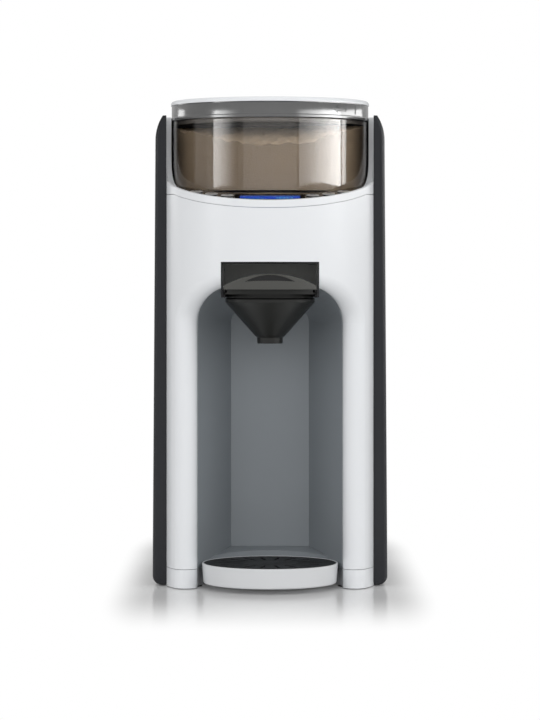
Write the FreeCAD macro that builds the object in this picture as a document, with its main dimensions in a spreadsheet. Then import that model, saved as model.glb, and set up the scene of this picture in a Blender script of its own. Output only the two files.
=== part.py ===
"""Baby formula maker: a parametric FreeCAD document, one object per real piece.

The machine stands on z = 0 with its front towards -Y and its left-right middle at x = 0; y = 0 is the
middle of its depth.  Every length is in millimetres and every angle in degrees.
"""
import FreeCAD, Part
import math
import os
import re

import Sketcher
from FreeCAD import Placement, Rotation, Vector

# ---------------------------------------------------------------------------------------------- sizes
# Driving sizes.  A depth is counted backwards from the foremost plane of the housing.
SIZES = {
    # housing
    "overall_depth": 310.0,
    "body_radius": 80.0,         # half width of the housing, and the radius of its round front
    "body_depth": 222.0,         # housing without the water tank
    "wall": 3.0,                 # moulded walls of the housing
    "seam": 0.4,                 # joint line between two mouldings
    "fit": 0.3,                  # play between pieces that lift or slide apart
    "snug": 0.05,                # play round a piece that is pressed or glued in
    "running": 0.08,             # radial play of a turning shaft in its hole
    "past": 10.0,                # how far a cutting shape reaches past what it cuts
    "foot_height": 0.6,
    "foot_radius": 9.0,
    "foot_inset": 20.0,
    "foot_front": 62.0,          # front feet behind the foremost plane
    "foot_rear": 40.0,           # rear feet in front of the rearmost plane
    "base_top": 14.4,
    "base_skin": 3.1,            # floor of the base pan
    "shelf_back": 26.0,          # tray's shelf behind the middle of the tray
    "split_depth": 120.0,        # where the front shell meets the rear housing
    # deck and rim
    "rim_front": 288.7,          # height of the rim's edge at the very front
    "rim_tilt": 13.7,
    "rim_band": 5.6,             # rim moulding seen below its edge
    "rim_width": 2.2,
    "deck_lift": 0.5,            # deck above the rim's edge at the very front
    "deck_tilt": 9.6,
    "deck_thickness": 1.6,
    "cheek_depth": 92.0,         # front edge of the cheeks beside the powder container
    "cheek_over": 3.0,           # cheeks above the container's edge
    "rim_swoop": 30.0,           # radius between the rim and the cheek
    "deck_swoop": 24.0,
    "seam_flat_depth": 45.0,     # behind this the seam runs level under the side panels
    # niche for the bottle
    "pillar": 25.7,              # housing beside the niche
    "niche_top": 226.0,
    "niche_corner": 28.0,
    "nose_radius": 8.9,          # soft edge of the niche
    "return_depth": 52.0,        # white return of the niche's edge
    "niche_axis_depth": 50.0,    # axis of the bottle, the tray, the funnel and the powder outlet
    "niche_back_depth": 118.0,
    "niche_narrowing": 24.3,     # how much each side wall closes in
    "niche_back_drop": 17.0,     # top of the flat back below the niche's top
    "niche_back_corner": 12.0,
    "liner_wall": 2.5,
    "floor_front": 18.6,         # niche floor beside the tray
    "floor_rise": 7.4,
    # funnel pocket and funnel
    "pocket_inset": 19.7,        # funnel pocket inside the niche's side
    "pocket_drop": 8.5,          # pocket's floor below the niche's top
    "pocket_height": 24.7,
    "pocket_wall": 1.4,
    "pocket_depth": 92.0,
    "rail_width": 1.6,
    "rail_height": 5.6,
    "rail_start": 10.0,          # rails behind the foremost plane
    "rail_groove": 1.1,
    "flange_lift": 2.4,          # flange above the pocket's floor
    "flange_thickness": 1.2,
    "flange_play": 0.2,
    "lip_height": 11.4,          # lip above its lower edge, which is just above the rails
    "lip_side_height": 2.7,
    "lip_bend": 65.0,            # radius of the lip's arched upper edge
    "lip_thickness": 3.6,
    "lip_overhang": 2.0,         # lip in front of the flange's edge
    "neck_half": 31.5,           # strip that joins the lip to the flange
    "lip_inset": 0.6,            # lip behind the round front
    "recess_half": 17.0,         # finger recess in the lip
    "recess_bottom": 9.8,
    "recess_rise": 4.5,
    "recess_bend": 34.0,
    "recess_depth": 1.0,
    "bowl_play": 2.0,            # bowl's neck inside the pocket's side
    "bowl_bead": 1.0,            # bowl outside its neck, below the rails
    "bowl_skirt": 6.2,
    "bowl_wall": 1.8,
    "spout_radius": 9.7,
    "spout_drop": 32.7,          # spout's collar below the flange
    "spout_length": 4.4,
    # tray
    "tray_play": 3.4,            # beside the tray in the niche
    "tray_draft": 1.0,
    "tray_top": 19.0,
    "tray_rim": 1.3,
    "tray_skin": 1.8,
    "grid_thickness": 2.0,
    "grid_drop": 0.25,
    "slot_start": 21.0,
    "slot_end": 39.0,
    "slot_half": 1.0,
    # powder container
    "dose_rim": 5.0,             # measuring wheel outside its powder pockets
    "tub_inset": 4.5,            # container inside the housing's side
    "tub_wall": 2.0,
    "tub_sink": 4.7,             # container's bottom below the rim's front edge
    "tub_height": 67.0,
    "tub_step": 3.5,             # foot inside the container's wall
    "tub_foot_height": 10.0,
    "tub_bend": 2.5,
    "well_play": 1.0,            # round the container in the housing
    "cup_wall": 2.0,
    "cup_skin": 2.2,
    "plate_height": 9.0,
    "dose_radius": 9.0,
    "hub_radius": 10.0,
    "drive_flat": 10.0,          # across the flats of the drive dog
    "shield_angle": 16.0,        # half of the outlet cover's sweep
    "shield_thickness": 1.6,
    "post_width": 11.5,
    "post_reach": 20.7,
    "post_thickness": 3.0,
    "arm_width": 6.0,
    "arm_height": 5.0,
    "arm_lift": 3.2,
    "cone_radius": 11.0,
    "cone_height": 18.5,
    # lid
    "band_height": 11.9,
    "band_width": 5.0,
    "cap_height": 3.3,
    "cap_round": 2.4,
    "cap_skirt": 1.5,            # cap above the band's lower edge inside
    "lid_overhang": 0.5,
    "gasket_width": 3.0,
    # keys and display
    "key_radius": 4.8,
    "key_proud": 1.0,
    "key_travel": 1.2,
    "key_flange": 1.2,
    "key_first": 31.5,           # innermost key from the middle
    "key_pitch": 11.7,
    "key_inset": 9.8,            # keys' ring inside the round front
    "switch_width": 6.0,
    "switch_height": 2.0,
    "window_gap": 0.8,           # deck between the display glass and the first key
    "window_rear_gap": 3.0,      # deck between the display glass and the container
    "window_proud": 0.1,
    "display_half": 22.6,
    "board_drop": 9.0,
    "board_back": 46.0,
    "board_thickness": 1.6,
    # side panels
    "panel_depth": 61.0,
    "panel_bulge_top": 6.3,      # panels out of the housing's side at the shoulder
    "panel_bulge_bottom": 8.4,
    "panel_shoulder": 19.0,
    "panel_cap": 0.8,            # flat top of the panels out of the housing's side
    "panel_bend": 34.0,
    "panel_heel": 7.0,
    "panel_heel_bend": 7.2,
    "panel_edge": 3.0,
    # water tank
    "tank_gap": 4.0,             # tank behind the housing
    "tank_inset": 4.0,           # tank inside the housing's side
    "tank_corner": 34.0,
    "tank_wall": 2.2,
    "tank_bottom": 46.0,
    "tank_drop": 20.0,           # tank's edge below the cheeks
    "tank_lid_over": 0.4,
    "barrel": 2.5,               # hinge barrel's radius, half the lid's thickness
    "pin_radius": 1.2,
    "ear_width": 5.0,
    "ear_inset": 5.0,
    "ear_depth": 6.0,
    "valve_radius": 9.0,
    "valve_length": 12.0,
    "valve_reach": 40.0,         # valve behind the tank's front
    # drive, pump, heater and boards
    "gearbox_half": 26.0,
    "gearbox_front": 24.0,
    "gearbox_rear": 62.0,
    "gearbox_height": 22.0,
    "motor_radius": 18.0,
    "motor_reach": 42.0,
    "motor_length": 49.7,
    "pump_x": 38.0,
    "pump_half": 24.0,
    "pump_front": 20.0,
    "pump_rear": 12.0,
    "pump_height": 52.3,
    "pump_port_y": 22.0,
    "heater_x": -46.0,
    "heater_half": 22.0,
    "heater_reach": 14.7,
    "heater_bottom": 80.0,
    "heater_height": 110.0,
    "main_board_half": 48.0,
    "main_board_bottom": 70.0,
    "main_board_height": 130.0,
    # hoses and the lead's entry
    "hose_radius": 3.5,
    "hose_wall": 1.0,
    "hose_bend": 9.0,
    "hose_level": 68.0,
    "hose_gap": 0.2,
    "nozzle_radius": 4.0,
    "nozzle_reach": 22.0,        # water nozzle behind the funnel's axis
    "nozzle_below": 0.0,
    "nozzle_above": 12.0,
    "gland_x": -45.0,
    "gland_radius": 4.5,
    "gland_wall": 1.6,
    "gland_over": 2.0,
}

# Sizes that follow from the driving ones.
DERIVED = {
    "niche_half": "body_radius - pillar",
    "niche_back_half": "niche_half - niche_narrowing",
    "pocket_half": "niche_half - pocket_inset",
    "tub_radius": "body_radius - tub_inset",
    "tub_foot_radius": "tub_radius - tub_step",
    "well_radius": "tub_radius + well_play",
    "plate_radius": "tub_foot_radius - tub_wall",
    "outlet_reach": "plate_radius - dose_radius - dose_rim",
    "tub_axis_depth": "niche_axis_depth + outlet_reach",
    "window_half": "key_first - key_radius - window_gap",
    "window_back": "tub_axis_depth - well_radius - window_rear_gap",
    "display_depth": "(window_back + rim_width * 2 + 1.5) / 2",
    "display_reach": "(window_back - rim_width) / 3",
    "front_y": "-overall_depth / 2",
    "rear_y": "overall_depth / 2",
    "body_axis_y": "front_y + body_radius",
    "body_rear_y": "front_y + body_depth",
    "split_y": "front_y + split_depth",
    "niche_axis_y": "front_y + niche_axis_depth",
    "niche_back_y": "front_y + niche_back_depth",
    "return_y": "front_y + return_depth",
    "tub_axis_y": "front_y + tub_axis_depth",
    "tank_front_y": "body_rear_y + tank_gap",
    "cheek_y": "front_y + cheek_depth",
    "panel_y": "front_y + panel_depth",
    "seam_flat_y": "front_y + seam_flat_depth",
    "niche_taper": "(niche_half - niche_back_half) / (niche_back_y - return_y + 1)",
    "niche_back_top": "niche_top - niche_back_drop",
    "shell_bottom": "base_top + seam",
    "base_floor": "foot_height + base_skin",
    "rim_slope": "tan(rim_tilt)",
    "deck_slope": "tan(deck_tilt)",
    "seam_front": "rim_front - rim_band",
    "seam_flat": "seam_front + rim_slope * seam_flat_depth",
    "deck_front": "rim_front + deck_lift",
    "tub_bottom": "rim_front - tub_sink",
    "tub_top": "tub_bottom + tub_height",
    "cheek_top": "tub_top + cheek_over",
    "cup_radius": "tub_foot_radius + fit * 2",
    "cup_bottom": "tub_bottom - fit - cup_skin",
    "plate_bottom": "tub_bottom + tub_wall + fit",
    "plate_top": "plate_bottom + plate_height",
    "stirrer_bottom": "plate_top + fit / 3",
    "lid_bottom": "tub_top + fit",
    "lid_radius": "tub_radius + lid_overhang",
    "lid_inside": "tub_radius + lid_overhang - band_width",
    "band_top": "lid_bottom + band_height",
    "nose_x": "niche_half + nose_radius",
    "nose_y": "body_axis_y - sqrt((body_radius - nose_radius)^2 - nose_x^2)",
    "pocket_bottom": "niche_top - pocket_drop",
    "pocket_top": "pocket_bottom + pocket_height",
    "rail_top": "pocket_bottom + rail_height",
    "flange_level": "pocket_bottom + flange_lift",
    "flange_top": "flange_level + flange_thickness",
    "flange_half": "pocket_half - rail_width + rail_groove - flange_play",
    "bowl_radius": "pocket_half - bowl_play",
    "spout_top": "flange_level - spout_drop",
    "spout_bottom": "spout_top - spout_length",
    "tray_radius": "niche_half - tray_play",
    "tray_bottom": "base_floor + 0.5",
    "floor_back": "floor_front + floor_rise",
    "key_ring": "body_radius - key_inset",
    "panel_half_top": "body_radius + panel_bulge_top",
    "panel_half_bottom": "body_radius + panel_bulge_bottom",
    "tank_half": "body_radius - tank_inset",
    "tank_top": "cheek_top - tank_drop",
    "dock_top": "tank_bottom - fit",
    "valve_y": "tank_front_y + valve_reach",
    "port_level": "dock_top - valve_length + 1",
    "hinge_y": "tank_front_y + barrel + 1.5",
    "hinge_z": "tank_top + fit + barrel",
    "pin_length": "(tank_half - ear_inset + ear_width / 2) * 2",
    "pump_top": "base_floor + pump_height",
    "heater_top": "heater_bottom + heater_height",
    "heater_rear": "body_rear_y - wall - fit",
    "heater_y": "heater_rear - heater_reach",
    "nozzle_y": "niche_axis_y + nozzle_reach",
    "nozzle_run": "sqrt(heater_x^2 + (heater_y - nozzle_y)^2) - nozzle_radius - hose_gap",
    "nozzle_turn": "atan((nozzle_y - heater_y) / -heater_x)",
    "gland_z": "(base_top + foot_height) / 2",
}

doc = FreeCAD.newDocument("FormulaMaker")
sheet = doc.addObject("Spreadsheet::Sheet", "Sizes")


def fill_sheet():
    cells = {name: str(size) for name, size in SIZES.items()}
    cells.update({name: "=" + rule for name, rule in DERIVED.items()})
    for row, (name, content) in enumerate(cells.items(), start=1):
        sheet.set(f"A{row}", name)
        sheet.set(f"B{row}", content)
        sheet.setAlias(f"B{row}", name)
    doc.recompute()


def bound(rule):
    """The rule as an expression that reads its sizes from the sheet."""
    return re.sub(r"[a-z]\w+", lambda word: in_sheet(word[0]), str(rule))


def in_sheet(word):
    return f"Sizes.{word}" if word in SIZES or word in DERIVED else word


def size(rule):
    """The present value of a rule."""
    return float(sheet.evalExpression(bound(rule)))


fill_sheet()
pieces = []


# ------------------------------------------------------------------------------------------- drawing
def body(label):
    new = doc.addObject("PartDesign::Body", label)
    new.Label = label
    return new


def sketch(owner, name, role, offset="0"):
    """A sketch on one of the body's own origin planes, moved along that plane's normal."""
    drawing = owner.newObject("Sketcher::SketchObject", f"{owner.Label}_{name}")
    support = next(item for item in owner.Origin.OriginFeatures if item.Role == role + "_Plane")
    drawing.AttachmentSupport = [(support, "")]
    drawing.MapMode = "FlatFace"
    drawing.setExpression("AttachmentOffset.Base.z", bound(offset))
    return drawing


def arc_between(start, end, radius):
    """The minor arc from start to end; a negative radius bends clockwise."""
    chord = end - start
    height = math.sqrt(max(radius ** 2 - chord.Length ** 2 / 4, 0.0)) * math.copysign(1, radius)
    centre = (start + end) / 2 + Vector(-chord.y, chord.x, 0).normalize() * height
    first = math.atan2(start.y - centre.y, start.x - centre.x)
    last = math.atan2(end.y - centre.y, end.x - centre.x)
    if radius < 0:
        first, last = last, first
    return Part.ArcOfCircle(Part.Circle(centre, Vector(0, 0, 1), abs(radius)), first, last)


def draw(drawing, *points):
    """A closed outline through points (x, y) or (x, y, radius), where radius bends the next edge."""
    spots = [Vector(size(point[0]), size(point[1]), 0) for point in points]
    first = drawing.GeometryCount
    clockwise = []
    for index, point in enumerate(points):
        start, end = spots[index], spots[(index + 1) % len(spots)]
        radius = size(point[2]) if len(point) > 2 else 0.0
        edge = arc_between(start, end, radius) if radius else Part.LineSegment(start, end)
        drawing.addGeometry(edge, False)
        clockwise.append(radius < 0)
    for index, point in enumerate(points):
        here, after = first + index, first + (index + 1) % len(points)
        start_end = 2 if clockwise[index] else 1
        far_end = 1 if clockwise[index] else 2
        next_start = 2 if clockwise[(index + 1) % len(points)] else 1
        drawing.addConstraint(Sketcher.Constraint("Coincident", here, far_end, after, next_start))
        pin(drawing, here, start_end, point[0], point[1])
        if len(point) > 2:
            hold_radius(drawing, here, f"abs({point[2]})")


def pin(drawing, geometry, end, x, y):
    for kind, rule in (("DistanceX", x), ("DistanceY", y)):
        mark = drawing.addConstraint(Sketcher.Constraint(kind, -1, 1, geometry, end, size(rule)))
        drawing.setExpression(f"Constraints[{mark}]", bound(rule))


def hold_radius(drawing, geometry, rule):
    mark = drawing.addConstraint(Sketcher.Constraint("Radius", geometry, size(rule)))
    drawing.setExpression(f"Constraints[{mark}]", bound(rule))


def circle(drawing, x, y, radius):
    centre = Vector(size(x), size(y), 0)
    ring = drawing.addGeometry(Part.Circle(centre, Vector(0, 0, 1), size(radius)), False)
    pin(drawing, ring, 3, x, y)
    hold_radius(drawing, ring, radius)


def rectangle(drawing, x0, y0, x1, y1):
    draw(drawing, (x0, y0), (x1, y0), (x1, y1), (x0, y1))


# ------------------------------------------------------------------------------------------ features
def feature(owner, kind, drawing, **settings):
    new = owner.newObject("PartDesign::" + kind, f"{drawing.Name}_{kind}")
    new.Profile = drawing
    for name, setting in settings.items():
        if isinstance(setting, str) and name in ("Length", "Angle", "TaperAngle"):
            new.setExpression(name, bound(setting))
        else:
            setattr(new, name, setting)
    return new


def pad(owner, drawing, length, **settings):
    return feature(owner, "Pad", drawing, Length=length, **settings)


def pocket(owner, drawing, length, **settings):
    return feature(owner, "Pocket", drawing, Length=length, **settings)


def turned(owner, kind, drawing):
    """A revolution or groove about the body's own vertical axis."""
    return feature(owner, kind, drawing, ReferenceAxis=(drawing, ["V_Axis"]), Angle="360")


def rounded(owner, radius, chosen, kind="Fillet"):
    """Rounds the edges that chosen() accepts."""
    doc.recompute()
    base = owner.Tip
    names = [f"Edge{count}" for count, edge in enumerate(base.Shape.Edges, start=1) if chosen(edge)]
    new = owner.newObject("PartDesign::" + kind, f"{owner.Label}_{kind}")
    new.Base = (base, names)
    new.setExpression("Radius" if kind == "Fillet" else "Size", bound(radius))
    return new


def place(item, x="0", y="0", z="0", axis=Vector(0, 0, 1), angle="0"):
    item.Placement = Placement(Vector(size(x), size(y), size(z)), Rotation(axis, size(angle)))
    for letter, rule in (("x", x), ("y", y), ("z", z)):
        item.setExpression(f"Placement.Base.{letter}", bound(rule))
    if angle != "0":
        item.setExpression("Placement.Rotation.Angle", bound(angle))
    return item


def primitive(kind, label, place_at=("0", "0", "0"), **sizes):
    new = doc.addObject("Part::" + kind, label)
    new.Label = label
    for name, rule in sizes.items():
        new.setExpression(name, bound(rule))
    return place(new, *place_at)


def block(label, x0, y0, z0, x1, y1, z1):
    return primitive("Box", label, (x0, y0, z0), Length=f"({x1}) - ({x0})",
                     Width=f"({y1}) - ({y0})", Height=f"({z1}) - ({z0})")


def rod(label, radius, x, y, z0, z1):
    return primitive("Cylinder", label, (x, y, z0), Radius=radius, Height=f"({z1}) - ({z0})")


def cut(label, base, *tools):
    for count, tool in enumerate(tools, start=1):
        last = count == len(tools)
        name = label if last else f"{label}_cut_{count}"
        new = doc.addObject("Part::Cut", name)
        new.Label = name
        new.Base, new.Tool = base, tool
        base = new
    return base


def joined(label, kind, *shapes):
    new = doc.addObject("Part::" + kind, label)
    new.Label = label
    new.Shapes = list(shapes)
    return new


def keep(piece):
    """Marks an object as a finished piece of the machine."""
    pieces.append(piece)
    return piece


# ------------------------------------------------------------------------------------ housing shapes
def housing_outline(drawing, inset, rear):
    """Straight sides with a half round front."""
    half = f"(body_radius - ({inset}))"
    draw(drawing, (f"-{half}", rear), (f"-{half}", "body_axis_y", half),
         ("0", f"body_axis_y - {half}", half), (half, "body_axis_y"), (half, rear))


def niche_outline(drawing, half, top, corner, bottom):
    """Front view of the niche: straight sides under two rounded corners."""
    flat = f"({half}) - ({corner})"
    draw(drawing, (f"-({half})", bottom), (half, bottom), (half, f"({top}) - ({corner})", corner),
         (flat, top), (f"-({flat})", top, corner), (f"-({half})", f"({top}) - ({corner})"))


def on_round_front(edge, radius, lowest):
    """True for the niche's edge on the round front, and false for level edges at the bottom."""
    centre = size("body_axis_y")
    points = [edge.valueAt(edge.FirstParameter + share * (edge.LastParameter - edge.FirstParameter))
              for share in (0.0, 0.3, 0.7, 1.0)]
    round_front = all(abs(math.hypot(spot.x, spot.y - centre) - radius) < 0.01 for spot in points)
    level_low = all(abs(spot.z - lowest) < 0.01 for spot in points)
    inside = all(abs(spot.x) < size("niche_half + wall") + 0.1 for spot in points)
    below = all(spot.z < size("niche_top + wall") + 0.1 for spot in points)
    return round_front and inside and below and not level_low


def niche_block(label, inset, bottom, top, rear, niche_end):
    """The housing's front as a solid, with the niche and its soft edge, moved inwards by inset."""
    new = body(label)
    plan = sketch(new, "plan", "XY", bottom)
    housing_outline(plan, inset, rear)
    pad(new, plan, f"({top}) - ({bottom})")
    arch = sketch(new, "niche", "XZ", "-front_y + past")
    niche_outline(arch, f"niche_half + {inset}", f"niche_top + {inset}", f"niche_corner + {inset}",
                  f"({bottom}) - past")
    pocket(new, arch, f"({niche_end}) - front_y + past")
    radius, lowest = size(f"body_radius - ({inset})"), size(bottom)
    rounded(new, f"nose_radius - ({inset})", lambda edge: on_round_front(edge, radius, lowest))
    return new


def side_view_cut(label, *points):
    """A tool as wide as the machine with a side view outline of (y, z) points."""
    new = body(label)
    view = sketch(new, "view", "YZ")
    draw(view, *points)
    pad(new, view, "(body_radius + past) * 2", Midplane=True)
    return new


def above_seam(label, lift):
    """Everything above the joint line between shell and rim."""
    rear, top = "body_rear_y + past", "cheek_top + past"
    return side_view_cut(label, ("front_y - past", f"seam_front - rim_slope * past + {lift}"),
                         ("seam_flat_y", f"seam_flat + {lift}"), (rear, f"seam_flat + {lift}"),
                         (rear, top), ("front_y - past", top))


def above_profile(label, level, slope, swoop, tilt):
    """Everything above a sloping surface that swoops up into the cheek's front edge."""
    start_y = f"(cheek_y - {swoop} + {swoop} * sin({tilt}))"
    start_z = f"({level} + {slope} * ({start_y} - front_y))"
    centre_z = f"({start_z} + {swoop} * cos({tilt}))"
    return side_view_cut(label, ("front_y - past", f"{level} - {slope} * past"),
                         (start_y, start_z, swoop), ("cheek_y", centre_z),
                         ("cheek_y", "cheek_top + past"), ("front_y - past", "cheek_top + past"))


# ------------------------------------------------------------------------------------- housing pieces
def front_shell():
    """White front moulding: half round, open at the back, with the niche and the funnel's opening."""
    outer = niche_block("front_shell_outer", "0", "shell_bottom", "cheek_top", "split_y",
                        "split_y + past")
    inner = niche_block("front_shell_inner", "wall", "shell_bottom - past", "cheek_top + past",
                        "split_y + past", "return_y")
    half = "(pocket_half + pocket_wall + snug * 2)"
    opening = block("front_shell_opening", f"-{half}", "front_y - past", "pocket_bottom - snug * 2",
                    half, "split_y - past", "pocket_top + pocket_wall + snug * 2")
    keep(cut("front_shell", outer, inner, opening, above_seam("front_shell_top", "0")))


def rear_housing():
    """White rear moulding behind the shell: two sides and the back wall."""
    new = body("rear_housing")
    plan = sketch(new, "plan", "XY", "shell_bottom")
    rectangle(plan, "-body_radius", "split_y + seam", "body_radius", "body_rear_y")
    pad(new, plan, "seam_flat - shell_bottom")
    room = sketch(new, "room", "XY", "seam_flat + past")
    rectangle(room, "-(body_radius - wall)", "split_y - past", "body_radius - wall", "body_rear_y - wall")
    pocket(new, room, "seam_flat - shell_bottom + past * 2")
    port = sketch(new, "port", "XZ", "-(body_rear_y + past)")
    circle(port, "0", "port_level", "hose_radius + fit")
    pocket(new, port, "wall + past * 2", Reversed=True)
    keep(new)


def top_housing():
    """White top moulding: the rim round the deck, the cheeks and the wall behind the container."""
    outer = body("top_housing_outer")
    plan = sketch(outer, "plan", "XY", "seam_front - past")
    housing_outline(plan, "0", "body_rear_y")
    pad(outer, plan, "cheek_top - seam_front + past")
    rear, low = "body_rear_y + past", "seam_front - past * 2"
    below = side_view_cut("top_housing_below", ("front_y - past", low), (rear, low),
                          (rear, "seam_flat + seam"), ("seam_flat_y", "seam_flat + seam"),
                          ("front_y - past", "seam_front - rim_slope * past + seam"))
    recess_plan = body("top_housing_recess_plan")
    recess = sketch(recess_plan, "plan", "XY", "seam_front - past")
    housing_outline(recess, "rim_width", "cheek_y")
    pad(recess_plan, recess, "cheek_top - seam_front + past * 2")
    recess_view = above_profile("top_housing_recess_view", "(deck_front - deck_thickness)", "deck_slope",
                                "deck_swoop", "deck_tilt")
    deck_recess = joined("top_housing_recess", "MultiCommon", recess_plan, recess_view)
    well = rod("top_housing_well", "well_radius", "0", "tub_axis_y", "seam_front - past", "cheek_top + past")
    hollow_plan = body("top_housing_hollow")
    room = sketch(hollow_plan, "plan", "XY", "seam_flat - past")
    rectangle(room, "-(body_radius - wall)", "tub_axis_y + tub_radius / 3", "body_radius - wall",
              "body_rear_y - wall")
    pad(hollow_plan, room, "cheek_top - wall - seam_flat + past")
    well_wall = rod("top_housing_well_wall", "well_radius + wall", "0", "tub_axis_y",
                    "seam_front - past", "cheek_top + past")
    hollow = cut("top_housing_corners", hollow_plan, well_wall)
    middle = "front_y + display_depth"
    lean = "board_drop * sin(deck_tilt)"
    window = block("top_housing_window", "-(display_half + fit)", f"{middle} - display_reach - fit",
                   "seam_front - past", "display_half + fit",
                   f"{middle} + display_reach + {lean} + fit", "cheek_top")
    holes = key_holes("top_housing")
    rim_cut = above_profile("top_housing_rim_view", "rim_front", "rim_slope", "rim_swoop", "rim_tilt")
    keep(cut("top_housing", outer, below, rim_cut, deck_recess, well, hollow, window, *holes))


def key_places():
    """Rules for the keys' centres, three either side of the display, as (x, depth)."""
    places = []
    for sign, step in (("-1", 2), ("-1", 1), ("-1", 0), ("1", 0), ("1", 1), ("1", 2)):
        x = f"(key_first + {step} * key_pitch)"
        places.append((f"{sign} * {x}", f"(body_radius - sqrt(key_ring^2 - {x}^2))"))
    return places


def on_deck(item, x, depth):
    """Stands an object on the deck plane, its own z along the deck's normal."""
    return place(item, x, f"front_y + {depth}", f"deck_front + deck_slope * {depth}",
                 Vector(1, 0, 0), "deck_tilt")


def key_holes(owner):
    """Cutting rods square to the deck, one for each key."""
    rods = []
    for number, (x, depth) in enumerate(key_places(), start=1):
        hole = body(f"{owner}_hole_{number}")
        ring = sketch(hole, "ring", "XY")
        circle(ring, "0", "0", "key_radius + fit")
        pad(hole, ring, "past * 4", Midplane=True)
        rods.append(on_deck(hole, x, depth))
    return rods


def base_outline(drawing, inset):
    """Plan of the base: round nose each side of the tray's notch, and a round-cornered rear."""
    half = f"(body_radius - {inset})"
    nose = f"(nose_radius - {inset})"
    notch = f"(niche_half + {inset})"
    reach = f"({half} / (body_radius - nose_radius))"
    touch_x = f"(nose_x * {reach})"
    touch_y = f"(body_axis_y + (nose_y - body_axis_y) * {reach})"
    rear = f"(rear_y - {inset})"
    corner = f"(tank_corner - {inset})"
    draw(drawing, (f"-{half}", f"{rear} - {corner}"), (f"-{half}", "body_axis_y", half),
         (f"-{touch_x}", touch_y, nose), (f"-{notch}", "nose_y"),
         (f"-{notch}", "niche_axis_y", f"-{notch}"), ("0", f"niche_axis_y + {notch}", f"-{notch}"),
         (notch, "niche_axis_y"), (notch, "nose_y", nose), (touch_x, touch_y, half),
         (half, "body_axis_y"), (half, f"{rear} - {corner}", corner), (f"{half} - {corner}", rear),
         (f"-({half} - {corner})", rear, corner))


def base_pan():
    """White base: a pan with a raised wall, and the shelf that carries the tray."""
    new = body("base_pan")
    plan = sketch(new, "plan", "XY", "foot_height")
    base_outline(plan, "0")
    pad(new, plan, "base_top - foot_height")
    room = sketch(new, "room", "XY", "base_top")
    base_outline(room, "wall")
    pocket(new, room, "base_top - base_floor")
    shelf = sketch(new, "shelf", "XY", "foot_height")
    half = "(niche_half + 1)"
    under = "(tray_radius - 5)"
    front = "(niche_axis_y + shelf_back)"
    beside = f"sqrt({half}^2 - shelf_back^2)"
    draw(shelf, (f"-{beside}", front), (f"-{under}", front, under), ("0", f"{front} - {under}", under),
         (under, front), (beside, front, half), ("0", f"niche_axis_y + {half}", half))
    pad(new, shelf, "base_floor - foot_height")
    lead = sketch(new, "lead", "XZ", "-(rear_y + past)")
    circle(lead, "gland_x", "gland_z", "gland_radius + snug")
    pocket(new, lead, "wall + past * 2", Reversed=True)
    keep(new)


def feet():
    """Four rubber feet pressed against the base."""
    near, far = "front_y + foot_front", "rear_y - foot_rear"
    left, right = "-(body_radius - foot_inset)", "body_radius - foot_inset"
    places = ((left, near), (right, near), (left, far), (right, far))
    for number, (x, y) in enumerate(places, start=1):
        new = body(f"foot_{number}")
        half = sketch(new, "half", "XZ")
        draw(half, ("0", "0"), ("foot_radius - 1", "0"), ("foot_radius", "foot_height - 0.3"),
             ("foot_radius", "foot_height"), ("0", "foot_height"))
        turned(new, "Revolution", half)
        keep(place(new, x, y))


def side_panels():
    """Dark side panels with a rounded shoulder, fitted over the housing's sides."""
    right = body("side_panel_right")
    view = sketch(right, "view", "XZ", "-panel_y")
    low = "foot_height"
    draw(view, ("body_radius - wall", low), ("panel_half_bottom - panel_heel", low, "panel_heel_bend"),
         ("panel_half_bottom", f"{low} + panel_heel"),
         ("panel_half_top", "cheek_top - panel_shoulder", "panel_bend"), ("body_radius + panel_cap", "cheek_top"),
         ("body_radius - wall", "cheek_top"))
    pad(right, view, "body_rear_y - panel_y", Reversed=True)
    inside = sketch(right, "inside", "XY", "cheek_top + past")
    housing_outline(inside, "-seam / 2", "body_rear_y + past")
    pocket(right, inside, "cheek_top + past * 2")
    front = size("panel_y")
    outer = size("body_radius") + size("seam")
    rounded(right, "panel_edge", lambda edge: all(abs(spot.Point.y - front) < 0.01
                                                  and abs(spot.Point.x) > outer for spot in edge.Vertexes))
    left = doc.addObject("Part::Mirroring", "side_panel_left")
    left.Source = right
    left.Normal = Vector(1, 0, 0)
    keep(left)
    keep(right)


# --------------------------------------------------------------------------------------- deck pieces
def deck_slab(label, upper, lower, reach):
    """A slab parallel to the deck between two drops below it, from the front to a depth of reach."""
    near = "deck_front - deck_slope * past"
    far = f"deck_front + deck_slope * ({reach})"
    return side_view_cut(label, ("front_y - past", f"{near} - ({upper})"),
                         ("front_y - past", f"{near} - ({lower})"),
                         (f"front_y + {reach}", f"{far} - ({lower})"),
                         (f"front_y + {reach}", f"{far} - ({upper})"))


def deck_blank(label, inset):
    """Plan of the round front as a block that reaches through the deck."""
    blank = body(label)
    plan = sketch(blank, "plan", "XY", "deck_front - past * 2")
    housing_outline(plan, inset, "body_rear_y")
    pad(blank, plan, "past * 5")
    return blank


def control_deck():
    """Glossy silver crescent between the rim and the powder container."""
    blank = deck_blank("control_deck_blank", "rim_width + seam / 2")
    slab = deck_slab("control_deck_slab", "0", "deck_thickness - snug * 2", "cheek_depth - deck_swoop")
    crescent = joined("control_deck_crescent", "MultiCommon", blank, slab)
    well = rod("control_deck_well", "well_radius + seam / 2", "0", "tub_axis_y",
               "deck_front - past * 4", "cheek_top")
    window = block("control_deck_window", "-(window_half + seam / 2)", "front_y - past",
                   "deck_front - past * 4", "window_half + seam / 2",
                   "front_y + window_back + seam / 2", "cheek_top")
    keep(cut("control_deck", crescent, well, window, *key_holes("control_deck")))


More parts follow.
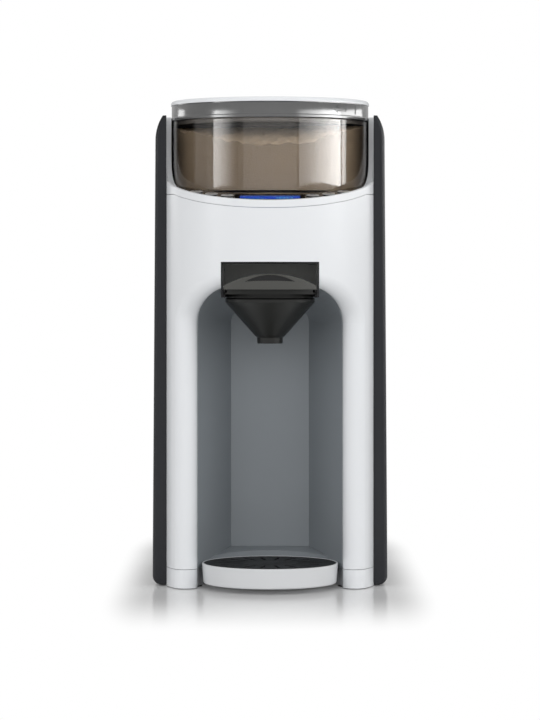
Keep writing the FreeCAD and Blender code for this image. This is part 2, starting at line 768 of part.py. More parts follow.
def display_window():
    """Black glass over the display, its front edge following the rim."""
    blank = body("display_window_blank")
    plan = sketch(blank, "plan", "XY", "deck_front - past * 2")
    radius = "(body_radius - rim_width - seam / 2)"
    edge = f"(body_axis_y - sqrt({radius}^2 - window_half^2))"
    draw(plan, ("-window_half", edge, radius), ("0", f"body_axis_y - {radius}", radius),
         ("window_half", edge), ("window_half", "front_y + window_back"),
         ("-window_half", "front_y + window_back"))
    pad(blank, plan, "past * 5")
    slab = deck_slab("display_window_slab", "-window_proud", "deck_thickness - snug * 2",
                     "window_back + past")
    keep(joined("display_window", "MultiCommon", blank, slab))


def display_module():
    """Liquid crystal panel right under the glass."""
    new = body("display_module")
    plan = sketch(new, "plan", "XY", "-deck_thickness - snug * 4")
    rectangle(plan, "-display_half", "-display_reach", "display_half", "display_reach")
    pad(new, plan, "board_drop - deck_thickness - snug * 8", Reversed=True)
    keep(on_deck(new, "0", "display_depth"))


def control_board():
    """Circuit board under the deck, with a switch soldered on under each key."""
    blank = deck_blank("control_board_blank", "wall * 3 / 2")
    slab = deck_slab("control_board_slab", "board_drop", "board_drop + board_thickness", "board_back")
    crescent = joined("control_board_crescent", "MultiCommon", blank, slab)
    well = rod("control_board_well", "cup_radius + cup_wall + fit", "0", "tub_axis_y",
               "deck_front - past * 4", "cheek_top")
    board = cut("control_board_bare", crescent, well)
    switches = []
    for number, (x, depth) in enumerate(key_places(), start=1):
        switch = body(f"control_board_switch_{number}")
        plan = sketch(switch, "plan", "XY", "-board_drop - board_thickness / 3")
        half = "switch_width / 2"
        rectangle(plan, f"-{half}", f"-{half}", half, half)
        pad(switch, plan, "switch_height")
        switches.append(on_deck(switch, x, depth))
    keep(joined("control_board", "MultiFuse", board, *switches))


def buttons():
    """Six round keys, each with a retaining flange below the moulding."""
    for number, (x, depth) in enumerate(key_places(), start=1):
        key = body(f"button_{number}")
        half = sketch(key, "half", "XZ")
        flange = "-(board_drop - key_travel - switch_height - 0.9)"
        draw(half, ("0", f"{flange} - 1"), ("key_radius + key_flange", f"{flange} - 1"),
             ("key_radius + key_flange", flange), ("key_radius", flange),
             ("key_radius", "key_proud - 0.6", "0.6"), ("key_radius - 0.6", "key_proud"),
             ("0", "key_proud"))
        turned(key, "Revolution", half)
        keep(on_deck(key, x, depth))


# -------------------------------------------------------------------------------------- niche pieces
def niche_liner():
    """Grey lining of the niche: two side walls that close in towards a flat back."""
    outer, inner = body("niche_liner_outer"), body("niche_liner_inner")
    for shape, add, front_end, back in (
            (outer, "liner_wall", "return_y + seam", "niche_back_y + liner_wall"),
            (inner, "0", "return_y - 1", "niche_back_y")):
        near = sketch(shape, "near", "XZ", f"-({front_end})")
        niche_outline(near, f"niche_half + {add}", f"niche_top + {add}", f"niche_corner + {add}",
                      "shell_bottom")
        far = sketch(shape, "far", "XZ", f"-({back})")
        niche_outline(far, f"niche_back_half + {add}", f"niche_back_top + {add}",
                      f"niche_back_corner + {add}", "shell_bottom")
        loft = feature(shape, "AdditiveLoft", near, Ruled=True)
        loft.Sections = [far]
    half = "(pocket_half + pocket_wall + snug * 4)"
    opening = block("niche_liner_opening", f"-{half}", "return_y - past", "pocket_bottom - snug * 4",
                    half, "front_y + pocket_depth + pocket_wall + snug * 4", "niche_top + past")
    keep(cut("niche_liner", outer, inner, opening))


def niche_floor():
    """Grey floor behind the tray, rising a little towards the back."""
    new = body("niche_floor")
    plan = sketch(new, "plan", "XY", "base_floor")
    front, back = "(niche_axis_y + tray_radius / 2)", "(niche_back_y - fit)"
    above = "floor_back + past"
    wide = f"(niche_half - niche_taper * ({front} - return_y + 1) - fit)"
    narrow = f"(niche_half - niche_taper * ({back} - return_y + 1) - fit)"
    draw(plan, (f"-{wide}", front), (wide, front), (narrow, back), (f"-{narrow}", back))
    pad(new, plan, f"{above} - base_floor")
    slope = sketch(new, "slope", "YZ")
    draw(slope, ("return_y - past", "floor_front"), ("niche_axis_y + past", "floor_front"),
         ("niche_back_y + past", "floor_back"), ("niche_back_y + past", f"{above} + past"),
         ("return_y - past", f"{above} + past"))
    pocket(new, slope, "body_radius * 2", Midplane=True)
    room = sketch(new, "room", "XY", above)
    circle(room, "0", "niche_axis_y", "tray_radius + fit * 3")
    pocket(new, room, f"{above} + past")
    foot = sketch(new, "foot", "XY", "shell_bottom")
    round_foot = "(niche_half - 1)"
    near, far = "return_y - past", "niche_back_y + past"
    draw(foot, ("-body_radius", near), (f"-{round_foot}", near),
         (f"-{round_foot}", "niche_axis_y", f"-{round_foot}"),
         ("0", f"niche_axis_y + {round_foot}", f"-{round_foot}"), (round_foot, "niche_axis_y"),
         (round_foot, near), ("body_radius", near), ("body_radius", far), ("-body_radius", far))
    pocket(new, foot, "shell_bottom")
    keep(new)


def pocket_liner():
    """Black pocket that the funnel slides into, open in front and below."""
    half = "(pocket_half + pocket_wall)"
    low, high = "pocket_bottom - past", "pocket_top + past"
    outer = block("pocket_liner_outer", f"-{half}", "front_y - past", "pocket_bottom", half,
                  "front_y + pocket_depth + pocket_wall", "pocket_top + pocket_wall")
    front = rod("pocket_liner_front", "body_radius - snug * 2", "0", "body_axis_y", low, high)
    trimmed = joined("pocket_liner_trimmed", "MultiCommon", outer, front)
    room = block("pocket_liner_room", "-pocket_half", "front_y - past", low, "pocket_half",
                 "front_y + pocket_depth", "pocket_top")
    chute = rod("pocket_liner_chute", "dose_radius + wall + fit", "0", "niche_axis_y",
                "pocket_top - past", high)
    nozzle = rod("pocket_liner_nozzle", "nozzle_radius + fit / 2", "0", "nozzle_y",
                 "pocket_top - past", high)
    keep(cut("pocket_liner", trimmed, room, chute, nozzle))


def funnel_rails():
    """Two grooved rails on the pocket's side walls that hold the funnel's flange."""
    for side, sign in (("left", "-1"), ("right", "1")):
        new = body(f"funnel_rail_{side}")
        view = sketch(new, "view", "XZ", "-(front_y + rail_start)")
        inner = f"{sign} * (pocket_half - rail_width)"
        groove = f"{sign} * (pocket_half - rail_width + rail_groove)"
        outer = f"{sign} * pocket_half"
        low = "flange_level - flange_play"
        high = "flange_top + flange_play"
        draw(view, (inner, "pocket_bottom"), (outer, "pocket_bottom"), (outer, "rail_top"),
             (inner, "rail_top"), (inner, high), (groove, high), (groove, low), (inner, low))
        pad(new, view, "pocket_depth - rail_start - 2", Reversed=True)
        keep(new)


def funnel():
    """Smoked funnel: bowl and spout turned, with a flat flange and an arched finger lip in front."""
    bowl = body("funnel_bowl")
    half = sketch(bowl, "half", "XZ")
    skirt_z = "(flange_level - bowl_skirt)"
    bead = "(bowl_radius + bowl_bead)"
    draw(half, ("bowl_radius - bowl_wall", "flange_top"), ("bowl_radius - bowl_wall", f"{skirt_z} + 0.6"),
         ("spout_radius - bowl_wall + 0.9", "spout_top + 1.4"), ("spout_radius - bowl_wall", "spout_top"),
         ("spout_radius - bowl_wall - 0.2", "spout_bottom"), ("spout_radius - 0.2", "spout_bottom"),
         ("spout_radius", "spout_top"), ("spout_radius + 1.8", "spout_top + 1.6"),
         (f"{bead} - 0.2", skirt_z), (bead, f"{skirt_z} + 2.2"), ("bowl_radius", f"{skirt_z} + 3.2"),
         ("bowl_radius", "flange_top"))
    turned(bowl, "Revolution", half)
    place(bowl, "0", "niche_axis_y")
    plate = block("funnel_plate", "-flange_half", "front_y - past", "flange_level", "flange_half",
                  "niche_axis_y + bowl_radius + wall", "flange_top")
    arch = body("funnel_arch")
    view = sketch(arch, "view", "XZ", "-front_y + past")
    side = "(pocket_half - fit)"
    base = "(rail_top + flange_play)"
    draw(view, (f"-{side}", base), (side, base), (side, f"{base} + lip_side_height", "lip_bend"),
         ("0", f"{base} + lip_height", "lip_bend"), (f"-{side}", f"{base} + lip_side_height"))
    pad(arch, view, "past * 5", Reversed=True)
    dip = body("funnel_dip")
    crescent = sketch(dip, "view", "XZ", "-front_y + past")
    dip_z = "(flange_level + recess_bottom)"
    draw(crescent, ("-recess_half", dip_z), ("recess_half", dip_z, "recess_bend"),
         ("0", f"{dip_z} + recess_rise", "recess_bend"))
    pad(dip, crescent, "past * 5", Reversed=True)
    low, high = "spout_bottom - past", "pocket_top + past"
    face = rod("funnel_face", "body_radius - lip_inset", "0", "body_axis_y", low, high)
    dip_floor = rod("funnel_dip_floor", "body_radius - lip_inset - recess_depth", "0", "body_axis_y",
                    low, high)
    back = rod("funnel_back", "body_radius - lip_inset - lip_thickness", "0", "body_axis_y", low, high)
    lip = cut("funnel_lip", joined("funnel_arch_front", "MultiCommon", arch, face), back,
              cut("funnel_recess", dip, dip_floor))
    edge = rod("funnel_edge", "body_radius - lip_inset - lip_overhang", "0", "body_axis_y", low, high)
    strip = block("funnel_strip", "-neck_half", "front_y - past", "flange_level", "neck_half",
                  "body_axis_y", f"{base} + wall / 3")
    neck = cut("funnel_neck", joined("funnel_neck_front", "MultiCommon", strip, edge), back)
    flange = joined("funnel_flange", "MultiCommon", plate, edge)
    mouth = rod("funnel_mouth", "bowl_radius - bowl_wall", "0", "niche_axis_y", "flange_level - past",
                "flange_top + past")
    ring = cut("funnel_ring", flange, mouth)
    keep(joined("funnel", "MultiFuse", bowl, ring, neck, lip))


def funnel_cover():
    """Black cover plate that lies in the funnel's mouth, with a hole under the powder chute."""
    new = body("funnel_cover")
    half = sketch(new, "half", "XZ")
    hole, plug = "dose_radius + 4", "bowl_radius - bowl_wall - fit"
    seat, edge = "flange_top + snug * 2", "bowl_radius + 0.2"
    draw(half, (hole, f"{seat} + 2.1"), (hole, f"{seat} - 1.1"), (plug, f"{seat} - 1.1"), (plug, seat),
         (edge, seat), (edge, f"{seat} + 1.3"), ("dose_radius + 8", f"{seat} + 2.1"))
    turned(new, "Revolution", half)
    keep(place(new, "0", "niche_axis_y"))


def tray():
    """Drip tray: a drafted white pan and a black grid dropped into its rim."""
    pan = body("tray_pan")
    half = sketch(pan, "half", "XZ")
    foot = "(tray_radius - tray_draft)"
    inner = "(tray_radius - tray_rim)"
    ledge = "(tray_top - grid_drop - grid_thickness - snug * 2)"
    draw(half, ("0", "tray_bottom"), (f"{foot} - 1", "tray_bottom", "1"), (foot, "tray_bottom + 1"),
         ("tray_radius", "tray_top - 0.6", "0.6"), ("tray_radius - 0.6", "tray_top"), (inner, "tray_top"),
         (inner, ledge), (f"{inner} - 2", ledge), (f"{inner} - 2", "tray_bottom + tray_skin"),
         ("0", "tray_bottom + tray_skin"))
    turned(pan, "Revolution", half)
    keep(place(pan, "0", "niche_axis_y"))
    grid = body("tray_grid")
    disc = sketch(grid, "disc", "XY", "tray_top - grid_drop - grid_thickness")
    circle(disc, "0", "0", f"{inner} - snug * 4")
    pad(grid, disc, "grid_thickness")
    slot = sketch(grid, "slot", "XY", "tray_top - grid_drop")
    near, far, end = "slot_start + slot_half", "slot_end - slot_half", "slot_half"
    draw(slot, (near, "-slot_half"), (far, "-slot_half", end), ("slot_end", "0", end),
         (far, "slot_half"), (near, "slot_half", end), ("slot_start", "0", end))
    repeated(grid, pocket(grid, slot, "grid_thickness + 1"), slot, 18)
    keep(place(grid, "0", "niche_axis_y"))


def repeated(owner, cutout, drawing, times):
    """Repeats a cut-out round the body's own vertical axis."""
    ring = owner.newObject("PartDesign::PolarPattern", f"{owner.Label}_ring")
    ring.Originals = [cutout]
    ring.Axis = (drawing, ["N_Axis"])
    ring.Angle = 360
    ring.Occurrences = times
    owner.Tip = ring


# ----------------------------------------------------------------------------------- powder container
def powder_well():
    """Cup in the housing that the container drops into, with the shaft's and the chute's holes."""
    new = body("powder_well")
    half = sketch(new, "half", "XZ")
    lip = "(tub_bottom + tub_foot_height - fit)"
    hole_radius, outside = "hub_radius - 0.5", "cup_radius + cup_wall"
    draw(half, (hole_radius, "cup_bottom"), (outside, "cup_bottom"), (outside, f"{lip} - 1.2"),
         ("well_radius - fit", f"{lip} - 1.2"), ("well_radius - fit", lip), ("cup_radius", lip),
         ("cup_radius", "tub_bottom - fit"), (hole_radius, "tub_bottom - fit"))
    turned(new, "Revolution", half)
    hole = sketch(new, "hole", "XY", "tub_bottom")
    circle(hole, "0", "-outlet_reach", "dose_radius + 1")
    pocket(new, hole, "past")
    keep(place(new, "0", "tub_axis_y"))


def powder_chute():
    """Short pipe from the well's outlet to the funnel pocket."""
    new = body("powder_chute")
    ring = sketch(new, "ring", "XY", "pocket_top + seam")
    circle(ring, "0", "niche_axis_y", "dose_radius + wall")
    circle(ring, "0", "niche_axis_y", "dose_radius + 1")
    pad(new, ring, "cup_bottom - pocket_top - seam")
    keep(new)


def tub():
    """Smoked clear container with a stepped foot, a shaft hole and the powder outlet."""
    new = body("tub")
    half = sketch(new, "half", "XZ")
    foot_top = "(tub_bottom + tub_foot_height)"
    inner_foot = "(plate_radius + 0.4)"
    inner = "(tub_radius - tub_wall)"
    heel = "tub_wall"
    draw(half, ("hub_radius", "tub_bottom"), (f"tub_foot_radius - {heel}", "tub_bottom", heel),
         ("tub_foot_radius", f"tub_bottom + {heel}"), ("tub_foot_radius", foot_top),
         ("tub_radius - tub_bend", foot_top, "tub_bend * 1.2"), ("tub_radius", f"{foot_top} + tub_bend"),
         ("tub_radius", "tub_top - 0.5"), ("tub_radius - 0.5", "tub_top"), (inner, "tub_top"),
         (inner, f"{foot_top} + 3"), (inner_foot, f"{foot_top} + 0.6"),
         (inner_foot, "tub_bottom + tub_wall"), ("hub_radius", "tub_bottom + tub_wall"))
    turned(new, "Revolution", half)
    hole = sketch(new, "hole", "XY", "tub_bottom + tub_wall")
    circle(hole, "0", "-outlet_reach", "dose_radius")
    pocket(new, hole, "past")
    keep(place(new, "0", "tub_axis_y"))


def dosing_plate():
    """Measuring wheel: ten powder pockets, and a hub with the hexagonal socket of the drive."""
    new = body("dosing_plate")
    half = sketch(new, "half", "XZ")
    draw(half, ("0", "tub_bottom"), ("hub_radius - running", "tub_bottom"),
         ("hub_radius - running", "plate_bottom"), ("plate_radius", "plate_bottom"),
         ("plate_radius", "plate_top - 1"), ("plate_radius - 1", "plate_top"), ("0", "plate_top"))
    turned(new, "Revolution", half)
    socket = sketch(new, "socket", "XY", "tub_bottom")
    hexagon(socket, "(drive_flat + fit)")
    pocket(new, socket, "plate_height - 1", Reversed=True)
    dose = sketch(new, "dose", "XY", "plate_top")
    circle(dose, "0", "-outlet_reach", "dose_radius")
    repeated(new, pocket(new, dose, "plate_height + 1"), dose, 10)
    keep(place(new, "0", "tub_axis_y"))


def hexagon(drawing, flat):
    corner = f"({flat} / sqrt(3))"
    draw(drawing, (corner, "0"), (f"{corner} / 2", f"{flat} / 2"), (f"-{corner} / 2", f"{flat} / 2"),
         (f"-{corner}", "0"), (f"-{corner} / 2", f"-{flat} / 2"), (f"{corner} / 2", f"-{flat} / 2"))


def outlet_shield():
    """Fixed cover over the outlet, so that only levelled pockets can empty."""
    new = body("outlet_shield")
    plan = sketch(new, "plan", "XY", "plate_top + fit")
    outer = "plate_radius"
    inner = "(outlet_reach - dose_radius - 4)"
    across, along = "sin(shield_angle)", "cos(shield_angle)"
    draw(plan, (f"-{outer} * {across}", f"-{outer} * {along}", outer),
         (f"{outer} * {across}", f"-{outer} * {along}"),
         (f"{inner} * {across}", f"-{inner} * {along}", f"-{inner}"),
         (f"-{inner} * {across}", f"-{inner} * {along}"))
    pad(new, plan, "shield_thickness")
    keep(place(new, "0", "tub_axis_y"))


def stirrer():
    """Stirring wheel: hub, two low arms and the upright post that breaks the powder."""
    new = body("stirrer")
    half = sketch(new, "half", "XZ")
    low, top = "stirrer_bottom", "stirrer_bottom + cone_height"
    draw(half, ("0", low), ("cone_radius", low), ("cone_radius", f"{top} - 6.5"),
         ("cone_radius - 2", f"{top} - 2.5"), ("cone_radius - 5", top), ("0", top))
    turned(new, "Revolution", half)
    arms = sketch(new, "arms", "XY", f"{low} + arm_lift")
    reach = "(plate_radius - tub_wall)"
    rectangle(arms, f"-{reach}", "-arm_width / 2", reach, "arm_width / 2")
    pad(new, arms, "arm_height")
    post_low = f"({low} + arm_height)"
    post = sketch(new, "post", "XY", post_low)
    rectangle(post, "-(post_reach + post_width / 2)", "-post_thickness / 2",
              "-(post_reach - post_width / 2)", "post_thickness / 2")
    pad(new, post, f"tub_top - 5 - {post_low}")
    keep(place(new, "0", "tub_axis_y"))


def lid():
    """Silver band, white cap and the soft gasket that grips the container's mouth."""
    band = body("lid_band")
    ring = sketch(band, "half", "XZ")
    draw(ring, ("lid_inside", "lid_bottom"), ("lid_radius", "lid_bottom"), ("lid_radius", "band_top"),
         ("lid_inside", "band_top"))
    turned(band, "Revolution", ring)
    keep(place(band, "0", "tub_axis_y"))
    cap = body("lid_cap")
    half = sketch(cap, "half", "XZ")
    plug, seat = "lid_inside - snug * 2", "band_top + snug"
    low, top = "lid_bottom + cap_skirt", "(band_top + cap_height)"
    draw(half, ("0", low), (plug, low), (plug, seat), ("lid_radius", seat),
         ("lid_radius", f"{top} - cap_round", "cap_round"), ("lid_radius - cap_round", top), ("0", top))
    turned(cap, "Revolution", half)
    keep(place(cap, "0", "tub_axis_y"))
    gasket = body("lid_gasket")
    seal = sketch(gasket, "half", "XZ")
    grip = "(tub_radius - tub_wall - fit)"
    draw(seal, (f"{grip} - gasket_width", "tub_top - 3"), (f"{grip} - 0.6", "tub_top - 3"),
         (grip, "tub_top - 2"), (grip, "tub_top"), (f"{grip} - gasket_width", "tub_top"))
    turned(gasket, "Revolution", seal)
    keep(place(gasket, "0", "tub_axis_y"))


# -------------------------------------------------------------------------------------------- drive
def drive():
    """Gearbox under the well, its motor, and the hexagonal dog that turns the measuring wheel."""
    top = "(cup_bottom - fit)"
    under = f"({top} - gearbox_height)"
    keep(block("gearbox", "-gearbox_half", "tub_axis_y - gearbox_front", under, "gearbox_half",
               "tub_axis_y + gearbox_rear", top))
    keep(rod("motor", "motor_radius", "0", "tub_axis_y + motor_reach", f"{under} - motor_length", under))
    dog = body("drive_dog")
    shaft = sketch(dog, "shaft", "XY", "cup_bottom - snug * 5")
    circle(shaft, "0", "0", "hub_radius - 0.6")
    pad(dog, shaft, "2.3")
    nose = sketch(dog, "nose", "XY", "cup_bottom + 2")
    hexagon(nose, "drive_flat")
    pad(dog, nose, "plate_height - 1.5")
    keep(place(dog, "0", "tub_axis_y"))


# --------------------------------------------------------------------------------------- water system
def tank_outline(drawing, inset):
    half, corner = f"(tank_half - {inset})", f"(tank_corner - {inset})"
    front, rear = f"(tank_front_y + {inset})", f"(rear_y - {inset})"
    draw(drawing, (f"-{half}", front), (half, front), (half, f"{rear} - {corner}", corner),
         (f"{half} - {corner}", rear), (f"-({half} - {corner})", rear, corner),
         (f"-{half}", f"{rear} - {corner}"))


def tank_dock():
    """Plinth behind the housing with the socket for the tank's valve and the outlet port."""
    new = body("tank_dock")
    plan = sketch(new, "plan", "XY", "base_top + snug * 2")
    tank_outline(plan, "0")
    pad(new, plan, "dock_top - base_top - snug * 2")
    socket = sketch(new, "socket", "XY", "dock_top")
    circle(socket, "0", "valve_y", "valve_radius + fit")
    pocket(new, socket, "valve_length + 2")
    port = sketch(new, "port", "XZ", "-(tank_front_y - past)")
    circle(port, "0", "port_level", "hose_radius - hose_wall")
    pocket(new, port, "valve_y - tank_front_y + past")
    keep(new)


def water_tank():
    """Smoked water tank: D-shaped vessel, open at the top, with two hinge ears on its front edge."""
    new = body("water_tank")
    plan = sketch(new, "plan", "XY", "tank_bottom")
    tank_outline(plan, "0")
    pad(new, plan, "tank_top - tank_bottom")
    room = sketch(new, "room", "XY", "tank_top")
    tank_outline(room, "tank_wall")
    pocket(new, room, "tank_top - tank_bottom - tank_wall")
    for name, sign in (("left", "-1"), ("right", "1")):
        ear = sketch(new, "ear_" + name, "YZ", f"{sign} * (tank_half - ear_inset)")
        draw(ear, ("hinge_y - barrel", "tank_top - ear_depth"),
             ("hinge_y + barrel - 2", "tank_top - ear_depth"),
             ("hinge_y + barrel", "tank_top - ear_depth + 2"), ("hinge_y + barrel", "hinge_z", "barrel"),
             ("hinge_y", "hinge_z + barrel", "barrel"), ("hinge_y - barrel", "hinge_z"))
        pad(new, ear, "ear_width", Midplane=True)
        hole = sketch(new, "hole_" + name, "YZ", f"{sign} * (tank_half - ear_inset)")
        circle(hole, "hinge_y", "hinge_z", "pin_radius + running")
        pocket(new, hole, "ear_width + 1", Midplane=True)
    keep(new)


def tank_valve():
    """Valve under the tank that plugs into the dock."""
    new = body("tank_valve")
    half = sketch(new, "half", "XZ")
    draw(half, ("0", "tank_bottom - valve_length"), ("valve_radius - 2", "tank_bottom - valve_length"),
         ("valve_radius", "tank_bottom - valve_length + 3"), ("valve_radius", "tank_bottom"),
         ("0", "tank_bottom"))
    turned(new, "Revolution", half)
    keep(place(new, "0", "valve_y"))


def tank_lid():
    """Lid of the tank, hinged on a pin along its front edge."""
    lid_plate = body("tank_lid")
    plan = sketch(lid_plate, "plan", "XY", "tank_top + fit")
    half, corner = "(tank_half + tank_lid_over)", "(tank_corner + tank_lid_over)"
    rear = "(rear_y + tank_lid_over)"
    notch_x, notch_y = "(tank_half - ear_inset - ear_width / 2 - fit)", "(hinge_y + barrel + fit * 2)"
    draw(plan, (f"-{half}", notch_y), (f"-{notch_x}", notch_y), (f"-{notch_x}", "hinge_y"),
         (notch_x, "hinge_y"), (notch_x, notch_y), (half, notch_y), (half, f"{rear} - {corner}", corner),
         (f"{half} - {corner}", rear), (f"-({half} - {corner})", rear, corner),
         (f"-{half}", f"{rear} - {corner}"))
    pad(lid_plate, plan, "barrel * 2")
    knuckle = sketch(lid_plate, "knuckle", "YZ")
    circle(knuckle, "hinge_y", "hinge_z", "barrel")
    pad(lid_plate, knuckle, f"{notch_x} * 2", Midplane=True)
    bore = sketch(lid_plate, "bore", "YZ")
    circle(bore, "hinge_y", "hinge_z", "pin_radius + running")
    pocket(lid_plate, bore, "body_radius * 2", Midplane=True)
    keep(lid_plate)
    pin_rod = primitive("Cylinder", "tank_lid_pin", Radius="pin_radius", Height="pin_length")
    pin_rod.Placement = Placement(Vector(0, 0, 0), Rotation(Vector(0, 1, 0), 90))
    for letter, rule in (("x", "-pin_length / 2"), ("y", "hinge_y"), ("z", "hinge_z")):
        pin_rod.setExpression(f"Placement.Base.{letter}", bound(rule))
    keep(pin_rod)


def water_path():
    """Pump, flow heater and nozzle inside the housing, with the circuit board in front of them."""
    keep(block("pump", "pump_x - pump_half", "split_y + pump_front", "base_floor + snug * 4",
               "pump_x + pump_half", "body_rear_y - wall - pump_rear", "pump_top"))
    keep(block("heater", "heater_x - heater_half", "heater_y - heater_reach", "heater_bottom",
               "heater_x + heater_half", "heater_rear", "heater_top"))
    board_y = "niche_back_y + liner_wall + fit"
    keep(block("main_board", "-main_board_half", board_y, "main_board_bottom", "main_board_half",
               f"{board_y} + board_thickness", "main_board_bottom + main_board_height"))
    keep(rod("water_nozzle", "nozzle_radius", "0", "nozzle_y", "pocket_top - nozzle_below",
             "pocket_top + nozzle_above"))


def hose(label, role, offset, *corners):
    """A hose along straight runs joined by arcs; corners are (u, v) rules in the route's plane."""
    new = body(label)
    route = sketch(new, "route", role, offset)
    spots = [Vector(size(u), size(v), 0) for u, v in corners]
    bend = size("hose_bend")
    here = spots[0]
    for before, corner, after in zip(spots, spots[1:], spots[2:]):
        towards, away = (corner - before).normalize(), (after - corner).normalize()
        first, last = corner - towards * bend, corner + away * bend
        turn = math.copysign(bend, towards.cross(away).z)
        route.addGeometry(Part.LineSegment(here, first), False)
        route.addGeometry(arc_between(first, last, turn), False)
        here = last
    route.addGeometry(Part.LineSegment(here, spots[-1]), False)
    start_u, start_v = corners[0]
    if role == "XY":
        section, centre_v = sketch(new, "section", "XZ", f"-({start_v})"), offset
    else:
        section, centre_v = sketch(new, "section", "XY", start_v), f"-({offset})"
    circle(section, start_u, centre_v, "hose_radius")
    circle(section, start_u, centre_v, "hose_radius - hose_wall")
    feature(new, "AdditivePipe", section, Spine=(route, []), Transition=0)
    return keep(new)


def hoses():
    """Three hoses: dock to pump, pump to heater and heater to nozzle."""
    hose("hose_inlet", "XY", "port_level", ("0", "tank_front_y - hose_gap"), ("0", "pump_port_y"),
         ("pump_x - pump_half - hose_gap", "pump_port_y"))
    hose("hose_pump", "XZ", "-heater_y", ("pump_x", "pump_top + hose_gap"), ("pump_x", "hose_level"),
         ("heater_x", "hose_level"), ("heater_x", "heater_bottom - hose_gap"))
    level = "pocket_top + nozzle_above * 2 / 3"
    outlet = hose("hose_outlet", "XZ", "0", ("0", "heater_top + hose_gap"), ("0", level),
                  ("nozzle_run", level))
    place(outlet, "heater_x", "heater_y", "0", Vector(0, 0, 1), "nozzle_turn")


def power_gland():
    """Gland in the base's rear wall where the mains lead enters."""
    new = body("power_gland")
    ring = sketch(new, "ring", "XZ", "-rear_y")
    circle(ring, "gland_x", "gland_z", "gland_radius")
    circle(ring, "gland_x", "gland_z", "gland_radius - gland_wall")
    pad(new, ring, "wall + gland_over")
    keep(new)


for build in (base_pan, feet, front_shell, rear_housing, top_housing, control_deck, display_window,
              display_module, control_board, buttons, niche_liner, niche_floor, pocket_liner,
              funnel_rails, funnel, funnel_cover, tray, powder_well, powder_chute, tub, dosing_plate,
              outlet_shield, stirrer, lid, drive, tank_dock, water_tank, tank_valve, tank_lid, water_path,
              hoses, power_gland, side_panels):
    build()


# ------------------------------------------------------------------------------------------- writing
def check_and_write():
    doc.recompute()
    failed = [item.Label for item in doc.Objects if {"Invalid", "Error"} & set(item.State)]
    if failed:
        raise RuntimeError("features failed: " + ", ".join(failed))
    bad = [piece.Label for piece in pieces if piece.Shape.isNull() or not piece.Shape.isValid()]
    if bad:
        raise RuntimeError("shapes not valid: " + ", ".join(bad))
    os.makedirs("parts", exist_ok=True)
    for piece in pieces:
        piece.Shape.exportStep(f"parts/{piece.Label}.step")


check_and_write()
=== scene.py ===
import math

import bpy
from mathutils import Matrix, Vector, noise


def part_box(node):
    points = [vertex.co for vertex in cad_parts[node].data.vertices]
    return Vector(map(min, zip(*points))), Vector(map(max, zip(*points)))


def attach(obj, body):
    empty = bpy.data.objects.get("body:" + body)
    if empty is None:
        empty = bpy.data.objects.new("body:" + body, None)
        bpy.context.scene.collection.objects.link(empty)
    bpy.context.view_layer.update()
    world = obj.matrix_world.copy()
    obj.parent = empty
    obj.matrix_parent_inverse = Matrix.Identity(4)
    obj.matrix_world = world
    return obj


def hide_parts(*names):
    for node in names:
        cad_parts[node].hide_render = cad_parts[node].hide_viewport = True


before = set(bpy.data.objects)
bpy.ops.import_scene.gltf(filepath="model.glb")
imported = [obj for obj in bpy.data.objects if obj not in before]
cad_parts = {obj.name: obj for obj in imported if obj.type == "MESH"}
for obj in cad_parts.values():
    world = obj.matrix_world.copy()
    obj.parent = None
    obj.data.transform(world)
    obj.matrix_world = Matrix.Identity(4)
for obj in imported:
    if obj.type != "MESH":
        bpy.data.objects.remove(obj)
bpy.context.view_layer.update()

# ---------------------------------------------------------------------------------------- the studio
# The machine stands on glossy white paper in a white room.  Soft lamps light it, and bright boards round
# it stand in for the soft boxes that show in glossy plastic and metal.
camera = bpy.data.objects.new("camera", bpy.data.cameras.new("camera"))
bpy.context.scene.collection.objects.link(camera)
bpy.context.scene.camera = camera
camera.location = (0.0, -2.255, 0.2377)
camera.rotation_euler = (math.radians(90), 0.0, 0.0)
camera.data.sensor_width = 36.0
camera.data.lens = 143.7
camera.data.shift_y = -0.125
bpy.context.scene.view_settings.view_transform = "Standard"


def wired(tree, kind, *sources, **settings):
    """A shader node with its settings, whose inputs come in order from sockets or numbers."""
    node = tree.nodes.new(kind)
    for name, value in settings.items():
        setattr(node, name, value)
    for socket, source in zip(node.inputs, sources):
        if isinstance(source, bpy.types.NodeSocket):
            tree.links.new(source, socket)
        elif source is not None:
            socket.default_value = source
    return node


def sums(tree, operation, *sources):
    """The result of one math node."""
    return wired(tree, "ShaderNodeMath", *sources, operation=operation).outputs[0]


def eased(tree, value, low, high, start=0.0, end=1.0):
    """Goes smoothly from start to end while the value goes from low to high."""
    node = wired(tree, "ShaderNodeMapRange", value, low, high, start, end,
                 interpolation_type="SMOOTHSTEP")
    return node.outputs["Result"]


# Glossy surfaces see the front of the room darker than its back, and matt ones are lit by it evenly.
ROOM_FILL = 0.6
ROOM_FRONT_IN_GLOSS = 0.15
ROOM_BACK_IN_GLOSS = 0.5
ROOM_FRONT_ENDS = -0.1
ROOM_BACK_STARTS = 0.9
room = bpy.data.worlds.new("white_room")
bpy.context.scene.world = room
room.use_nodes = True
tree = room.node_tree
ray = tree.nodes.new("ShaderNodeLightPath")
way = wired(tree, "ShaderNodeSeparateXYZ", tree.nodes.new("ShaderNodeTexCoord").outputs["Generated"])
backwards = eased(tree, way.outputs["Y"], ROOM_FRONT_ENDS, ROOM_BACK_STARTS, ROOM_FRONT_IN_GLOSS,
                  ROOM_BACK_IN_GLOSS)
in_gloss = sums(tree, "MULTIPLY", ray.outputs["Is Glossy Ray"], backwards)
clear_view = sums(tree, "MAXIMUM", ray.outputs["Is Camera Ray"], ray.outputs["Is Transmission Ray"])
shown = sums(tree, "MAXIMUM", clear_view, in_gloss)
by_light = sums(tree, "MULTIPLY", ray.outputs["Is Diffuse Ray"], ROOM_FILL)
backdrop = tree.nodes["Background"]
